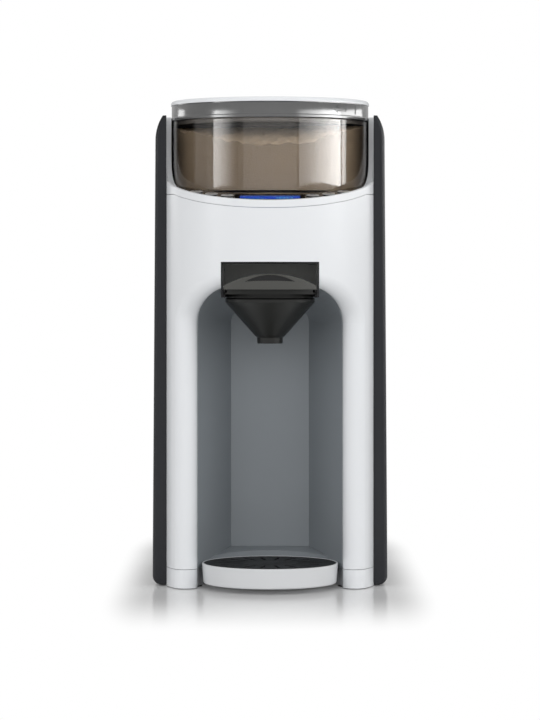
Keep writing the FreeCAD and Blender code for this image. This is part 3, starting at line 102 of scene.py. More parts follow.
backdrop.inputs["Color"].default_value = (1.0, 1.0, 1.0, 1.0)
tree.links.new(sums(tree, "MAXIMUM", shown, by_light), backdrop.inputs["Strength"])


def round_the_machine(azimuth, distance, height):
    """A place round the machine: azimuth 0 is in front of it and 90 is on the right."""
    turn = math.radians(azimuth)
    return Vector((math.sin(turn) * distance, -math.cos(turn) * distance, height))


LAMPS_AIM = Vector((0.0, 0.0, 0.2))
for name, azimuth, distance, height, width, tall, watts in (
        ("lamp_front", 0, 3.0, 0.5, 3.6, 2.6, 39.0),
        ("lamp_right", 68, 1.7, 0.9, 1.2, 1.3, 5.0),
        ("lamp_left", -60, 1.7, 0.9, 1.2, 1.3, 3.0),
        ("lamp_above", 0, 0.7, 1.7, 1.2, 1.2, 2.5)):
    lamp = bpy.data.lights.new(name, "AREA")
    lamp.shape = "RECTANGLE"
    lamp.size, lamp.size_y, lamp.energy = width, tall, watts
    stand = bpy.data.objects.new(name, lamp)
    bpy.context.scene.collection.objects.link(stand)
    stand.location = round_the_machine(azimuth, distance, height)
    stand.rotation_euler = (LAMPS_AIM - stand.location).to_track_quat("-Z", "Y").to_euler()
    stand.visible_glossy = False


def clear_selection():
    """Leaves edit mode and deselects everything."""
    if bpy.context.object and bpy.context.object.mode != "OBJECT":
        bpy.ops.object.mode_set(mode="OBJECT")
    bpy.ops.object.select_all(action="DESELECT")


def named(name):
    """Names the piece that an operator has just added."""
    piece = bpy.context.object
    piece.name = piece.data.name = name
    return piece


def glowing(name, near, far, far_end, reach):
    """White cloth that shines by itself, with one strength at its far end and another at its near end."""
    cloth = bpy.data.materials.new(name)
    cloth.use_nodes = True
    tree = cloth.node_tree
    tree.nodes.remove(tree.nodes["Principled BSDF"])
    spot = tree.nodes.new("ShaderNodeTexCoord").outputs["Object"]
    across = wired(tree, "ShaderNodeVectorMath", spot, tuple(far_end), operation="DISTANCE")
    glow = wired(tree, "ShaderNodeEmission", (1.0, 1.0, 1.0, 1.0),
                 eased(tree, across.outputs["Value"], 0.0, reach, far, near))
    tree.links.new(glow.outputs["Emission"], tree.nodes["Material Output"].inputs["Surface"])
    return cloth


# Each board hangs between two azimuths, with its lower edge just under the height of the lid.
BOARD_DISTANCE = 1.5
BOARD_FOOT = 0.34
BOARD_HEIGHT = 0.27
for name, far_side, near_side, far, near in (
        ("board_right", 87, 32, 11.0, 2.2), ("board_right_back", 133, 89, 4.0, 6.0),
        ("board_left", -66, -36, 6.0, 0.4), ("board_strip", -132, -116, 3.6, 3.6)):
    ends = [round_the_machine(azimuth, BOARD_DISTANCE, BOARD_FOOT + BOARD_HEIGHT / 2)
            for azimuth in (far_side, near_side)]
    run = ends[1] - ends[0]
    clear_selection()
    bpy.ops.mesh.primitive_plane_add(size=1.0)
    board = named(name)
    turn = Matrix.Rotation(math.atan2(run.y, run.x), 4, "Z") @ Matrix.Rotation(math.radians(90), 4, "X")
    size = Matrix.Diagonal((run.length, BOARD_HEIGHT, 1.0, 1.0))
    board.data.transform(Matrix.Translation((ends[0] + ends[1]) / 2) @ turn @ size)
    board.data.materials.append(glowing(name + "_cloth", near, far, ends[0], run.length))
    board.visible_camera = board.visible_diffuse = board.visible_shadow = False

# The paper shows its shadows near the machine, and fades to pure white away from its footprint.
FOOTPRINT = (0.088, 0.156, 0.0)
PAPER_FADES = 0.24
PAPER_FADE_RATE = (7.0, 1.1, 0.0)
PAPER_WHITE_AT_MACHINE = 0.05
clear_selection()
bpy.ops.mesh.primitive_plane_add(size=12.0)
floor = named("floor")
paper = bpy.data.materials.new("glossy_white_paper")
paper.use_nodes = True
tree = paper.node_tree
sheet = tree.nodes["Principled BSDF"]
sheet.inputs["Base Color"].default_value = (0.78, 0.78, 0.78, 1.0)
sheet.inputs["Roughness"].default_value = 0.16
sheet.inputs["Specular IOR Level"].default_value = 0.25
glow = wired(tree, "ShaderNodeEmission", (1.0, 1.0, 1.0, 1.0), 1.0)
spot = tree.nodes.new("ShaderNodeTexCoord").outputs["Object"]
off = wired(tree, "ShaderNodeVectorMath", spot, operation="ABSOLUTE").outputs["Vector"]
off = wired(tree, "ShaderNodeVectorMath", off, FOOTPRINT, operation="SUBTRACT").outputs["Vector"]
off = wired(tree, "ShaderNodeVectorMath", off, (0.0, 0.0, 0.0), operation="MAXIMUM").outputs["Vector"]
off = wired(tree, "ShaderNodeVectorMath", off, PAPER_FADE_RATE, operation="MULTIPLY").outputs["Vector"]
reach = wired(tree, "ShaderNodeVectorMath", off, operation="LENGTH").outputs["Value"]
far = eased(tree, reach, 0.0, PAPER_FADES, PAPER_WHITE_AT_MACHINE, 1.0)
ray = tree.nodes.new("ShaderNodeLightPath")
seen = sums(tree, "MAXIMUM", ray.outputs["Is Camera Ray"], ray.outputs["Is Glossy Ray"])
seen = sums(tree, "MAXIMUM", seen, ray.outputs["Is Transmission Ray"])
blend = wired(tree, "ShaderNodeMixShader", sums(tree, "MULTIPLY", seen, far), sheet.outputs["BSDF"],
              glow.outputs["Emission"])
tree.links.new(blend.outputs["Shader"], tree.nodes["Material Output"].inputs["Surface"])
floor.data.materials.append(paper)


# ------------------------------------------------------------------------------------ base and feet
# The base pan is white moulded plastic and closes the housing from below.  Four rubber feet are pressed
# into it.
CLOUD_SCALE = 14.0
SMEAR_SCALE = 55.0
GRAIN_HEIGHT = 0.0003


def speckle(tree, spot, scale, detail):
    """Noise with so many waves to the metre and so much fine detail."""
    return wired(tree, "ShaderNodeTexNoise", spot, None, scale, detail).outputs["Fac"]


def moulded_skin_group():
    """Skin of a moulding: clouded colour, uneven gloss and a fine grain."""
    group = bpy.data.node_groups.new("moulded_skin", "ShaderNodeTree")
    for name, kind, start in (
            ("Colour", "NodeSocketColor", (0.5, 0.5, 0.5, 1.0)), ("Cloud", "NodeSocketFloat", 0.03),
            ("Roughness", "NodeSocketFloat", 0.3), ("Unevenness", "NodeSocketFloat", 0.05),
            ("Grain", "NodeSocketFloat", 600.0), ("Depth", "NodeSocketFloat", 0.1)):
        group.interface.new_socket(name=name, in_out="INPUT", socket_type=kind).default_value = start
    for name, kind in (("Colour", "NodeSocketColor"), ("Roughness", "NodeSocketFloat"),
                       ("Normal", "NodeSocketVector")):
        group.interface.new_socket(name=name, in_out="OUTPUT", socket_type=kind)
    given, made = group.nodes.new("NodeGroupInput"), group.nodes.new("NodeGroupOutput")
    spot = group.nodes.new("ShaderNodeTexCoord").outputs["Object"]
    cloud = speckle(group, spot, CLOUD_SCALE, 3.0)
    least = sums(group, "SUBTRACT", 1.0, given.outputs["Cloud"])
    shade = wired(group, "ShaderNodeMapRange", cloud, 0.35, 0.65, least, 1.0)
    tint = wired(group, "ShaderNodeVectorMath", given.outputs["Colour"], operation="SCALE")
    group.links.new(shade.outputs["Result"], tint.inputs["Scale"])
    group.links.new(tint.outputs["Vector"], made.inputs["Colour"])
    smear = sums(group, "SUBTRACT", speckle(group, spot, SMEAR_SCALE, 4.0), 0.5)
    rough = sums(group, "MULTIPLY_ADD", smear, given.outputs["Unevenness"], given.outputs["Roughness"])
    group.links.new(rough, made.inputs["Roughness"])
    fine = speckle(group, spot, given.outputs["Grain"], 2.0)
    bump = group.nodes.new("ShaderNodeBump")
    bump.inputs["Distance"].default_value = GRAIN_HEIGHT
    group.links.new(given.outputs["Depth"], bump.inputs["Strength"])
    group.links.new(fine, bump.inputs["Height"])
    group.links.new(bump.outputs["Normal"], made.inputs["Normal"])
    return group


moulded_skin = moulded_skin_group()


def plastic(name, colour, roughness, cloud=0.03, uneven=0.06, grain=600.0, depth=0.1, **sockets):
    """A moulded plastic or rubber; other shader sockets are set by their name."""
    made = bpy.data.materials.new(name)
    made.use_nodes = True
    tree = made.node_tree
    shader = tree.nodes["Principled BSDF"]
    skin = tree.nodes.new("ShaderNodeGroup")
    skin.name = "skin"
    skin.node_tree = moulded_skin
    for socket, value in (("Colour", (*colour, 1.0)), ("Cloud", cloud), ("Roughness", roughness),
                          ("Unevenness", uneven), ("Grain", grain), ("Depth", depth)):
        skin.inputs[socket].default_value = value
    for socket, target in (("Colour", "Base Color"), ("Roughness", "Roughness"), ("Normal", "Normal")):
        tree.links.new(skin.outputs[socket], shader.inputs[target])
    for socket, value in sockets.items():
        shader.inputs[socket.replace("_", " ")].default_value = value
    return made


def dress(made, *nodes):
    """Puts a material on CAD nodes."""
    for name in nodes:
        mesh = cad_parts[name].data
        mesh.materials.clear()
        mesh.materials.append(made)


def recoloured(made, masks):
    """Mixes further colours into a material's own colour, each where its mask is 1."""
    tree = made.node_tree
    skin = tree.nodes["skin"]
    colour = None
    for mask, tone in masks:
        mix = tree.nodes.new("ShaderNodeMix")
        mix.data_type = "RGBA"
        tree.links.new(mask, mix.inputs["Factor"])
        if colour is None:
            mix.inputs[6].default_value = skin.inputs["Colour"].default_value
        else:
            tree.links.new(colour, mix.inputs[6])
        mix.inputs[7].default_value = (*tone, 1.0)
        colour = mix.outputs[2]
    tree.links.new(colour, skin.inputs["Colour"])


WHITE = (0.855, 0.872, 0.893)
WHITE_FINISH = {"cloud": 0.012, "uneven": 0.05, "grain": 240.0, "depth": 0.03, "Specular_IOR_Level": 0.3}
glossy_white = plastic("glossy_white", WHITE, 0.26, **WHITE_FINISH)
dress(glossy_white, "base_pan")
foot_rubber = plastic("foot_rubber", (0.03, 0.03, 0.03), 0.72, cloud=0.2, uneven=0.15, grain=900.0,
                      depth=0.3)
dress(foot_rubber, "foot_1", "foot_2", "foot_3", "foot_4")


# ---------------------------------------------------------------------------------- works inside
# Pump, flow heater, motor, gearbox and boards are screwed to posts inside the housing, and silicone
# hoses join the pump, the heater and the nozzle.
LINE_HEIGHT = 0.0002


def metal(name, colour, roughness, along=(60.0, 60.0, 1400.0), lines=0.08, depth=0.05, metallic=1.0):
    """A machined, plated or painted metal; its fine lines have so many waves to the metre each way."""
    made = bpy.data.materials.new(name)
    made.use_nodes = True
    tree = made.node_tree
    shader = tree.nodes["Principled BSDF"]
    shader.inputs["Metallic"].default_value = metallic
    spot = tree.nodes.new("ShaderNodeTexCoord").outputs["Object"]
    drawn = wired(tree, "ShaderNodeMapping", spot)
    drawn.inputs["Scale"].default_value = along
    strokes = speckle(tree, drawn.outputs["Vector"], 1.0, 3.0)
    tint = wired(tree, "ShaderNodeVectorMath", operation="SCALE")
    tint.inputs[0].default_value = colour
    tree.links.new(eased(tree, strokes, 0.3, 0.7, 1.0 - lines, 1.0), tint.inputs["Scale"])
    tree.links.new(tint.outputs["Vector"], shader.inputs["Base Color"])
    tree.links.new(eased(tree, strokes, 0.3, 0.7, roughness * 0.8, roughness * 1.2),
                   shader.inputs["Roughness"])
    bump = tree.nodes.new("ShaderNodeBump")
    bump.inputs["Strength"].default_value = depth
    bump.inputs["Distance"].default_value = LINE_HEIGHT
    tree.links.new(strokes, bump.inputs["Height"])
    tree.links.new(bump.outputs["Normal"], shader.inputs["Normal"])
    return made


black_plastic = plastic("black_plastic", (0.014, 0.014, 0.015), 0.4, cloud=0.1, uneven=0.1, grain=1400.0,
                        depth=0.1, Specular_IOR_Level=0.25)
dress(black_plastic, "pump", "powder_well", "powder_chute", "power_gland")
machined_steel = metal("machined_steel", (0.58, 0.58, 0.59), 0.3)
dress(machined_steel, "heater", "motor", "tank_lid_pin")
moulded_acetal = plastic("moulded_acetal", (0.3, 0.3, 0.3), 0.42, cloud=0.06, grain=900.0)
dress(moulded_acetal, "gearbox", "drive_dog")
green_board = plastic("green_board", (0.03, 0.15, 0.06), 0.35, cloud=0.25, grain=1800.0, depth=0.2)
dress(green_board, "main_board", "control_board")
hose_silicone = plastic("hose_silicone", (0.6, 0.6, 0.58), 0.45, cloud=0.08, grain=700.0,
                        Subsurface_Weight=0.15)
dress(hose_silicone, "hose_inlet", "hose_pump", "hose_outlet")


# ------------------------------------------------------------------------------- white housing
# Front shell, top moulding and rear housing are moulded in the same glossy white plastic as the base pan.
# They snap together over it.
dress(glossy_white, "front_shell", "top_housing", "rear_housing")


# ------------------------------------------------------------------------------------- side panels
# Two charcoal plastic panels clip over the sides of the housing.  They are moulded with a fine spark
# texture.
charcoal_spark = plastic("charcoal_spark", (0.023, 0.0243, 0.028), 0.4, cloud=0.08, uneven=0.1,
                         grain=1500.0, depth=0.16, Specular_IOR_Level=0.3)
dress(charcoal_spark, "side_panel_left", "side_panel_right")


# ------------------------------------------------------------------------------------- niche lining
# Grey satin lining of the bottle's niche: two side walls, a flat back, an arched ceiling and the floor
# behind the tray.
satin_grey = plastic("satin_grey", (0.275, 0.3, 0.322), 0.38, cloud=0.04, uneven=0.08, grain=1200.0,
                     depth=0.06)
dress(satin_grey, "niche_liner", "niche_floor")


# ------------------------------------------------------------------------------------ funnel pocket
# A pale grey moulded box over the niche, open in front, where its edge is black.  The funnel's flange
# slides in it on two black rails, and the white water nozzle comes through its roof.
BODY_AXIS = Vector((0.0, -0.075, 0.0))
pocket_grey = plastic("pocket_grey", (0.68, 0.69, 0.675), 0.42, cloud=0.06, uneven=0.1, grain=1200.0,
                      depth=0.1, Specular_IOR_Level=0.15)
dress(pocket_grey, "pocket_liner")
dress(black_plastic, "funnel_rail_left", "funnel_rail_right")
nozzle_white = plastic("nozzle_white", (0.62, 0.62, 0.6), 0.5, cloud=0.05, grain=700.0,
                       Subsurface_Weight=0.1)
dress(nozzle_white, "water_nozzle")


def off_axis(tree, spot, axis):
    """Distance of a point from an upright axis."""
    moved = wired(tree, "ShaderNodeVectorMath", spot, tuple(-axis), operation="ADD").outputs["Vector"]
    flat = wired(tree, "ShaderNodeVectorMath", moved, (1.0, 1.0, 0.0), operation="MULTIPLY")
    length = wired(tree, "ShaderNodeVectorMath", flat.outputs["Vector"], operation="LENGTH")
    return length.outputs["Value"]


POCKET_EDGE = 0.0788
tree = pocket_grey.node_tree
spot = tree.nodes.new("ShaderNodeTexCoord").outputs["Object"]
edge = sums(tree, "GREATER_THAN", off_axis(tree, spot, BODY_AXIS), POCKET_EDGE)
recoloured(pocket_grey, [(edge, (0.012, 0.012, 0.014))])


# ------------------------------------------------------------------------------------------- funnel
# Bowl, spout, flange and finger lip are one moulding in smoked plastic.  The lip is satin and painted
# lighter as a painted reflection, its finger recess is painted darker as painted shade, and a black cover
# with the two inlets closes the bowl.
LIP_FOOT = 0.2235


def own_place(tree):
    """A point's own X, Y and Z on the piece."""
    spot = tree.nodes.new("ShaderNodeTexCoord").outputs["Object"]
    return wired(tree, "ShaderNodeSeparateXYZ", spot).outputs


# The recess's painted shade lies between two curved edges, which drop from the lip's middle to the
# recess's ends.
RECESS_HALF = 0.0186
RECESS_LOW, RECESS_LOW_DROP = 0.22995, -0.0008
RECESS_HIGH, RECESS_HIGH_DROP = 0.23405, -0.0049
smoked_dark = plastic("smoked_dark", (0.014, 0.0145, 0.0132), 0.3, cloud=0.06, uneven=0.06, grain=500.0,
                      depth=0.03, Specular_IOR_Level=0.35)
tree = smoked_dark.node_tree
place = own_place(tree)
# The lip is coloured lighter as a painted reflection, and the finger recess darker as painted shade.
lip_painted_reflection = sums(tree, "GREATER_THAN", place["Z"], LIP_FOOT)
share = sums(tree, "DIVIDE", place["X"], RECESS_HALF)
share = sums(tree, "MULTIPLY", share, share)
low_edge = sums(tree, "MULTIPLY_ADD", share, RECESS_LOW_DROP, RECESS_LOW)
high_edge = sums(tree, "MULTIPLY_ADD", share, RECESS_HIGH_DROP, RECESS_HIGH)
over_low = sums(tree, "GREATER_THAN", place["Z"], low_edge)
under_high = sums(tree, "LESS_THAN", place["Z"], high_edge)
recess_painted_shade = sums(tree, "MULTIPLY", over_low, under_high)
recoloured(smoked_dark, [(lip_painted_reflection, (0.08, 0.08, 0.074)), (recess_painted_shade, (0.02, 0.02, 0.02))])
dress(smoked_dark, "funnel")
dress(black_plastic, "funnel_cover")


# --------------------------------------------------------------------------------------------- tray
# A drafted white pan under a black slotted grid that lifts out.  The grid is moulded with a leather
# grain.
tray_white = plastic("tray_white", (0.72, 0.732, 0.745), 0.3, cloud=0.015, uneven=0.05, grain=240.0,
                     depth=0.03, Specular_IOR_Level=0.3)
dress(tray_white, "tray_pan")
grid_black = plastic("grid_black", (0.016, 0.0165, 0.017), 0.5, cloud=0.15, uneven=0.2, grain=1000.0,
                     depth=0.9, Specular_IOR_Level=0.3)
dress(grid_black, "tray_grid")


# --------------------------------------------------------------------------------- A black sheet of painted shade stands behind the container, which is moulded in smoke-tinted clear plastic.
# The well's dark lining stands behind the container, which is moulded in smoke-tinted clear plastic.
# The measuring wheel, its shield and the stirring wheel lie in it.
TUB_AXIS = Vector((0.0, -0.049, 0.0))
RING_SIDES = 144


def turned(name, axis, profile):
    """A ring turned about an upright axis, whose section goes round through (radius, height) pairs."""
    clear_selection()
    (radius, level), *rest = profile + profile[:1]
    bpy.ops.mesh.primitive_circle_add(vertices=RING_SIDES, radius=radius, location=(axis.x, axis.y, level))
    piece = named(name)
    bpy.ops.object.mode_set(mode="EDIT")
    for next_radius, next_level in rest:
        bpy.ops.mesh.extrude_edges_move(
            TRANSFORM_OT_translate={"value": (0.0, 0.0, next_level - level)})
        growth = next_radius / radius
        bpy.ops.transform.resize(value=(growth, growth, 1.0),
                                 center_override=(axis.x, axis.y, next_level))
        radius, level = next_radius, next_level
    bpy.ops.mesh.select_all(action="SELECT")
    bpy.ops.mesh.remove_doubles(threshold=1e-6)
    bpy.ops.mesh.normals_make_consistent(inside=False)
    finished(piece)
    return piece


def finished(piece, angle=35.0):
    """Puts a piece's place into its mesh and smooths its gentle edges."""
    clear_selection()
    bpy.context.view_layer.objects.active = piece
    piece.select_set(True)
    bpy.ops.object.transform_apply(location=True, rotation=True, scale=True)
    bpy.ops.object.shade_smooth_by_angle(angle=math.radians(angle))


def opened(piece):
    """Opens a piece in edit mode with all of it selected."""
    clear_selection()
    bpy.context.view_layer.objects.active = piece
    piece.select_set(True)
    bpy.ops.object.mode_set(mode="EDIT")
    bpy.ops.mesh.select_all(action="SELECT")


def fitted(piece, body, made):
    """Gives a new piece its body and its material."""
    piece.data.materials.clear()
    piece.data.materials.append(made)
    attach(piece, body)


# The painted shade sheet runs round the back of the container, and stops where the cheeks beside it end.
CHEEK_EDGE = -0.063
SHADE_SHEET_OUTSIDE, SHADE_SHEET_INSIDE = 0.0764, 0.0759
SHADE_SHEET_FOOT, SHADE_SHEET_TOP = 0.2965, 0.3532
shade_sheet = turned("painted_shade_sheet", TUB_AXIS, [
    (SHADE_SHEET_OUTSIDE, SHADE_SHEET_FOOT), (SHADE_SHEET_OUTSIDE, SHADE_SHEET_TOP), (SHADE_SHEET_INSIDE, SHADE_SHEET_TOP),
    (SHADE_SHEET_INSIDE, SHADE_SHEET_FOOT)])
opened(shade_sheet)
bpy.ops.mesh.bisect(plane_co=(0.0, CHEEK_EDGE, 0.0), plane_no=(0.0, 1.0, 0.0), clear_inner=True,
                    use_fill=True)
finished(shade_sheet)
fitted(shade_sheet, "housing", black_plastic)


def clear_plastic(name, tint, roughness=0.02, ior=1.5):
    """Transparent plastic with faint moulding flow in its surface, which lets the lamps' light in."""
    made = plastic(name, tint, roughness, cloud=0.03, uneven=0.02, grain=120.0, depth=0.02,
                   Transmission_Weight=1.0, IOR=ior)
    tree = made.node_tree
    let_in = wired(tree, "ShaderNodeBsdfTransparent", (*tint, 1.0))
    by_lamp = tree.nodes.new("ShaderNodeLightPath").outputs["Is Shadow Ray"]
    shown = wired(tree, "ShaderNodeMixShader", by_lamp, tree.nodes["Principled BSDF"].outputs["BSDF"],
                  let_in.outputs["BSDF"])
    tree.links.new(shown.outputs["Shader"], tree.nodes["Material Output"].inputs["Surface"])
    return made


smoke_clear = clear_plastic("smoke_clear", (0.74, 0.71, 0.68))
dress(smoke_clear, "tub", "outlet_shield")
wheel_grey = plastic("wheel_grey", (0.42, 0.42, 0.41), 0.5, cloud=0.06, grain=900.0)
dress(wheel_grey, "stirrer")
dress(moulded_acetal, "dosing_plate")


# -------------------------------------------------------------------------------------- the powder
# Cream formula powder lies loose in the container.  It is heaped towards the back, with a ridge on the
# right and lumps all over, and is coloured darker where it meets the wall.
HEAP_CELLS = 180
HEAP_FLOOR = 0.2956
HEAP_STEP = 0.2975
HEAP_FOOT_RADIUS = 0.0703
HEAP_RADIUS = 0.0731
HEAP_TOP = 0.3475
HEAP_FRONT = -0.073
HEAP_FRONT_LEVEL = 0.3305
HEAP_RUN = 0.11
HEAP_RISE = 0.0155
HEAP_STEEPNESS = 3.6
RIDGE_RISE = 0.0065
RIDGE_STARTS = (0.015, 0.045)
RIDGE_ENDS = (0.06, 0.08)
LUMPS = ((0.025, 0.0017), (0.009, 0.0015), (0.0035, 0.0011))
LUMPS_CUT_AT = 0.3


def eased_number(value, low, high):
    """Goes smoothly from 0 to 1 while the value goes from low to high."""
    share = min(max((value - low) / (high - low), 0.0), 1.0)
    return share * share * (3.0 - 2.0 * share)


def heap_level(across, back):
    """Height of the powder at a place measured from the container's axis."""
    slope = min(max((back - HEAP_FRONT) / HEAP_RUN, 0.0), 1.0)
    level = HEAP_FRONT_LEVEL + HEAP_RISE * (1.0 - (1.0 - slope) ** HEAP_STEEPNESS)
    on_ridge, past_ridge = eased_number(across, *RIDGE_STARTS), eased_number(across, *RIDGE_ENDS)
    level += RIDGE_RISE * slope * on_ridge * (1.0 - past_ridge)
    spot = Vector((across, back, LUMPS_CUT_AT))
    for size, rise in LUMPS:
        level += rise * noise.noise(spot / size)
    return min(level, HEAP_TOP)


clear_selection()
bpy.ops.mesh.primitive_grid_add(x_subdivisions=HEAP_CELLS, y_subdivisions=HEAP_CELLS, size=2.0)
powder = named("formula_powder")
for vertex in powder.data.vertices:
    x, y, _ = vertex.co
    across = x * math.sqrt(1.0 - y * y / 2.0) * HEAP_RADIUS
    back = y * math.sqrt(1.0 - x * x / 2.0) * HEAP_RADIUS
    vertex.co = (across, TUB_AXIS.y + back, heap_level(across, back))
bpy.ops.object.mode_set(mode="EDIT")
bpy.ops.mesh.select_mode(type="EDGE")
bpy.ops.mesh.select_all(action="SELECT")
bpy.ops.mesh.region_to_loop()
for level, growth in ((HEAP_STEP, 1.0), (HEAP_STEP, HEAP_FOOT_RADIUS / HEAP_RADIUS), (HEAP_FLOOR, 1.0)):
    bpy.ops.mesh.extrude_edges_move(TRANSFORM_OT_translate={"value": (0.0, 0.0, 0.0)})
    bpy.ops.transform.resize(value=(growth, growth, 0.0), center_override=(0.0, TUB_AXIS.y, level))
bpy.ops.mesh.edge_face_add()
bpy.ops.mesh.select_all(action="SELECT")
bpy.ops.mesh.normals_make_consistent(inside=False)
finished(powder, 50.0)
formula_cream = plastic("formula_cream", (0.75, 0.63, 0.48), 0.95, cloud=0.1, uneven=0.05, grain=900.0,
                        depth=1.0, Specular_IOR_Level=0.15)
# The powder is coloured darker in a band where it meets the wall.
WALL_BAND_RADIUS = 0.0728
tree = formula_cream.node_tree
spot = tree.nodes.new("ShaderNodeTexCoord").outputs["Object"]
by_wall = sums(tree, "GREATER_THAN", off_axis(tree, spot, TUB_AXIS), WALL_BAND_RADIUS)
recoloured(formula_cream, [(by_wall, (0.33, 0.27, 0.2))])
fitted(powder, "powder_container", formula_cream)


# ---------------------------------------------------------------------------------------------- lid
# A grey silicone seal closes the container.  A silver band with a proud bright lip turns with the white
# cap on it, and shows which way to turn.
seal_grey = plastic("seal_grey", (0.16, 0.16, 0.16), 0.5, cloud=0.05, grain=900.0)
dress(seal_grey, "lid_gasket")
silver_paint = metal("silver_paint", (0.22, 0.22, 0.22), 0.17, along=(300.0, 300.0, 300.0), lines=0.04,
                     depth=0.01, metallic=0.4)
paint = silver_paint.node_tree.nodes["Principled BSDF"]
paint.inputs["Coat Weight"].default_value = 0.3
paint.inputs["Coat Roughness"].default_value = 0.08
band = turned("band_ring", TUB_AXIS, [
    (0.0710, 0.3513), (0.0757, 0.3513), (0.0760, 0.3516), (0.0760, 0.3533), (0.0757, 0.3536),
    (0.0754, 0.3539), (0.0754, 0.3622), (0.0752, 0.3626), (0.0746, 0.3628), (0.0746, 0.3632),
    (0.0710, 0.3632)])
fitted(band, "lid", silver_paint)
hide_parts("lid_band")
# The white cap's underside is painted near-black, as painted shade inside the closed container.
CAP_UNDERSIDE = 0.3536
cap_white = plastic("cap_white", WHITE, 0.26, **WHITE_FINISH)
tree = cap_white.node_tree
underside_painted_shade = sums(tree, "LESS_THAN", own_place(tree)["Z"], CAP_UNDERSIDE)
recoloured(cap_white, [(underside_painted_shade, (0.02, 0.02, 0.021))])
dress(cap_white, "lid_cap")

# The marks are thin lines, printed on the band and almost flat.
MARK_RADIUS = 0.0754
MARK_HEIGHT = 0.3580
MARK_FLATNESS = 0.4


def drawn_line(name, points, closed, thickness):
    """A thin printed line through flat points, as a mesh at the origin."""
    clear_selection()
    curve = bpy.data.curves.new(name, "CURVE")
    curve.dimensions = "3D"
    curve.bevel_depth = thickness / 2
    curve.bevel_resolution = 1
    spline = curve.splines.new("POLY")
    spline.points.add(len(points) - 1)
    for knot, (across, up) in zip(spline.points, points):
        knot.co = (across, up, 0.0, 1.0)
    spline.use_cyclic_u = closed
    line = bpy.data.objects.new(name, curve)
    bpy.context.scene.collection.objects.link(line)
    bpy.context.view_layer.objects.active = line
    line.select_set(True)
    bpy.ops.object.convert(target="MESH")
    return named(name)


mark_grey = plastic("mark_grey", (0.03, 0.03, 0.03), 0.5, cloud=0.05, grain=900.0)
ARROW = ((-0.0062, 0.0), (-0.0034, 0.0026), (-0.0034, 0.0012), (0.0062, 0.0012), (0.0062, -0.0012),
         (-0.0034, -0.0012), (-0.0034, -0.0026))
for name, points, closed, thickness, turn in (
        ("turn_arrow", ARROW, True, 0.0008, 44.5),
        ("closed_tick", ((0.0, -0.003), (0.0, 0.003)), False, 0.0014, 58.5)):
    mark = drawn_line(name, points, closed, thickness)
    for vertex in mark.data.vertices:
        across, up, out = vertex.co
        angle = math.radians(turn) + across / MARK_RADIUS
        radius = MARK_RADIUS + out * MARK_FLATNESS
        vertex.co = (TUB_AXIS.x + math.sin(angle) * radius, TUB_AXIS.y - math.cos(angle) * radius,
                     MARK_HEIGHT + up)
    finished(mark)
    fitted(mark, "lid", mark_grey)


# --------------------------------------------------------------------------------- deck and display
# The deck is a glossy silver crescent.  Dark glass lies in its middle over a blue display with cyan
# figures, and three keys stand on each side.
deck_silver = metal("deck_silver", (0.2, 0.2, 0.2), 0.12, along=(200.0, 200.0, 200.0), lines=0.03,
                    depth=0.01, metallic=0.9)
dress(deck_silver, "control_deck")
window_glass = clear_plastic("window_glass", (0.30, 0.34, 0.45), roughness=0.03, ior=1.02)
GLASS_CLEAR_HALF = 0.0222
tree = window_glass.node_tree
masked = sums(tree, "GREATER_THAN", sums(tree, "ABSOLUTE", own_place(tree)["X"]), GLASS_CLEAR_HALF)
recoloured(window_glass, [(masked, (0.002, 0.002, 0.002))])
dress(window_glass, "display_window")
lit_blue = plastic("lit_blue", (0.01, 0.02, 0.08), 0.4, cloud=0.1, grain=900.0,
                   Emission_Color=(0.02, 0.15, 0.95, 1.0), Emission_Strength=1.0)
dress(lit_blue, "display_module")

# The deck rises backwards from its front edge.  The keys are silver, with painted shade round their foot
# where they meet the deck.
KEY_TILT = 0.169
KEY_FOOT_SHADE = 0.0006
DECK_FRONT = 0.2892
FRONT_Y = -0.155
key_silver = plastic("key_silver", (0.62, 0.62, 0.62), 0.3, cloud=0.04, grain=900.0, depth=0.05,
                     Metallic=0.6)
tree = key_silver.node_tree
place = own_place(tree)
# Painted shade: each key is coloured near-black just above the deck's face.
deck_here = sums(tree, "MULTIPLY_ADD", place["Y"], KEY_TILT, DECK_FRONT - FRONT_Y * KEY_TILT)
foot_painted_shade = sums(tree, "LESS_THAN", sums(tree, "SUBTRACT", place["Z"], deck_here), KEY_FOOT_SHADE)
recoloured(key_silver, [(foot_painted_shade, (0.015, 0.015, 0.015))])
dress(key_silver, "button_1", "button_2", "button_3", "button_4", "button_5", "button_6")


def laid_on_deck(piece, across, depth, above):
    """Lays a flat piece on the sloping deck with its middle at a place, above the deck's face."""
    back = Matrix.Translation((across, FRONT_Y + depth, DECK_FRONT + KEY_TILT * depth + above))
    piece.data.transform(back @ Matrix.Rotation(math.atan(KEY_TILT), 4, "X"))
    finished(piece)


# The figures are lit bars of one shape.  A bar's place in its figure is counted from the figure's middle,
# in steps to the right and in quarters of the figure's height upwards, and its turn is in degrees.
BAR_LENGTH = 0.0034
BAR_WIDTH = 0.0009
BAR_THICKNESS = 0.00014
BAR_POINT = 0.42
BAR_STEP = 0.52
FIGURE_HEIGHT = 0.0078
BARS = {
    "top": (0.0, 2.0, 0), "middle": (0.0, 0.0, 0), "bottom": (0.0, -2.0, 0),
    "upper_left": (-1.0, 1.0, 90), "upper_right": (1.0, 1.0, 90),
    "lower_left": (-1.0, -1.0, 90), "lower_right": (1.0, -1.0, 90)}
FIGURES = {"1": ("upper_right", "lower_right"), "8": tuple(BARS),
           "0": tuple(bar for bar in BARS if bar != "middle")}


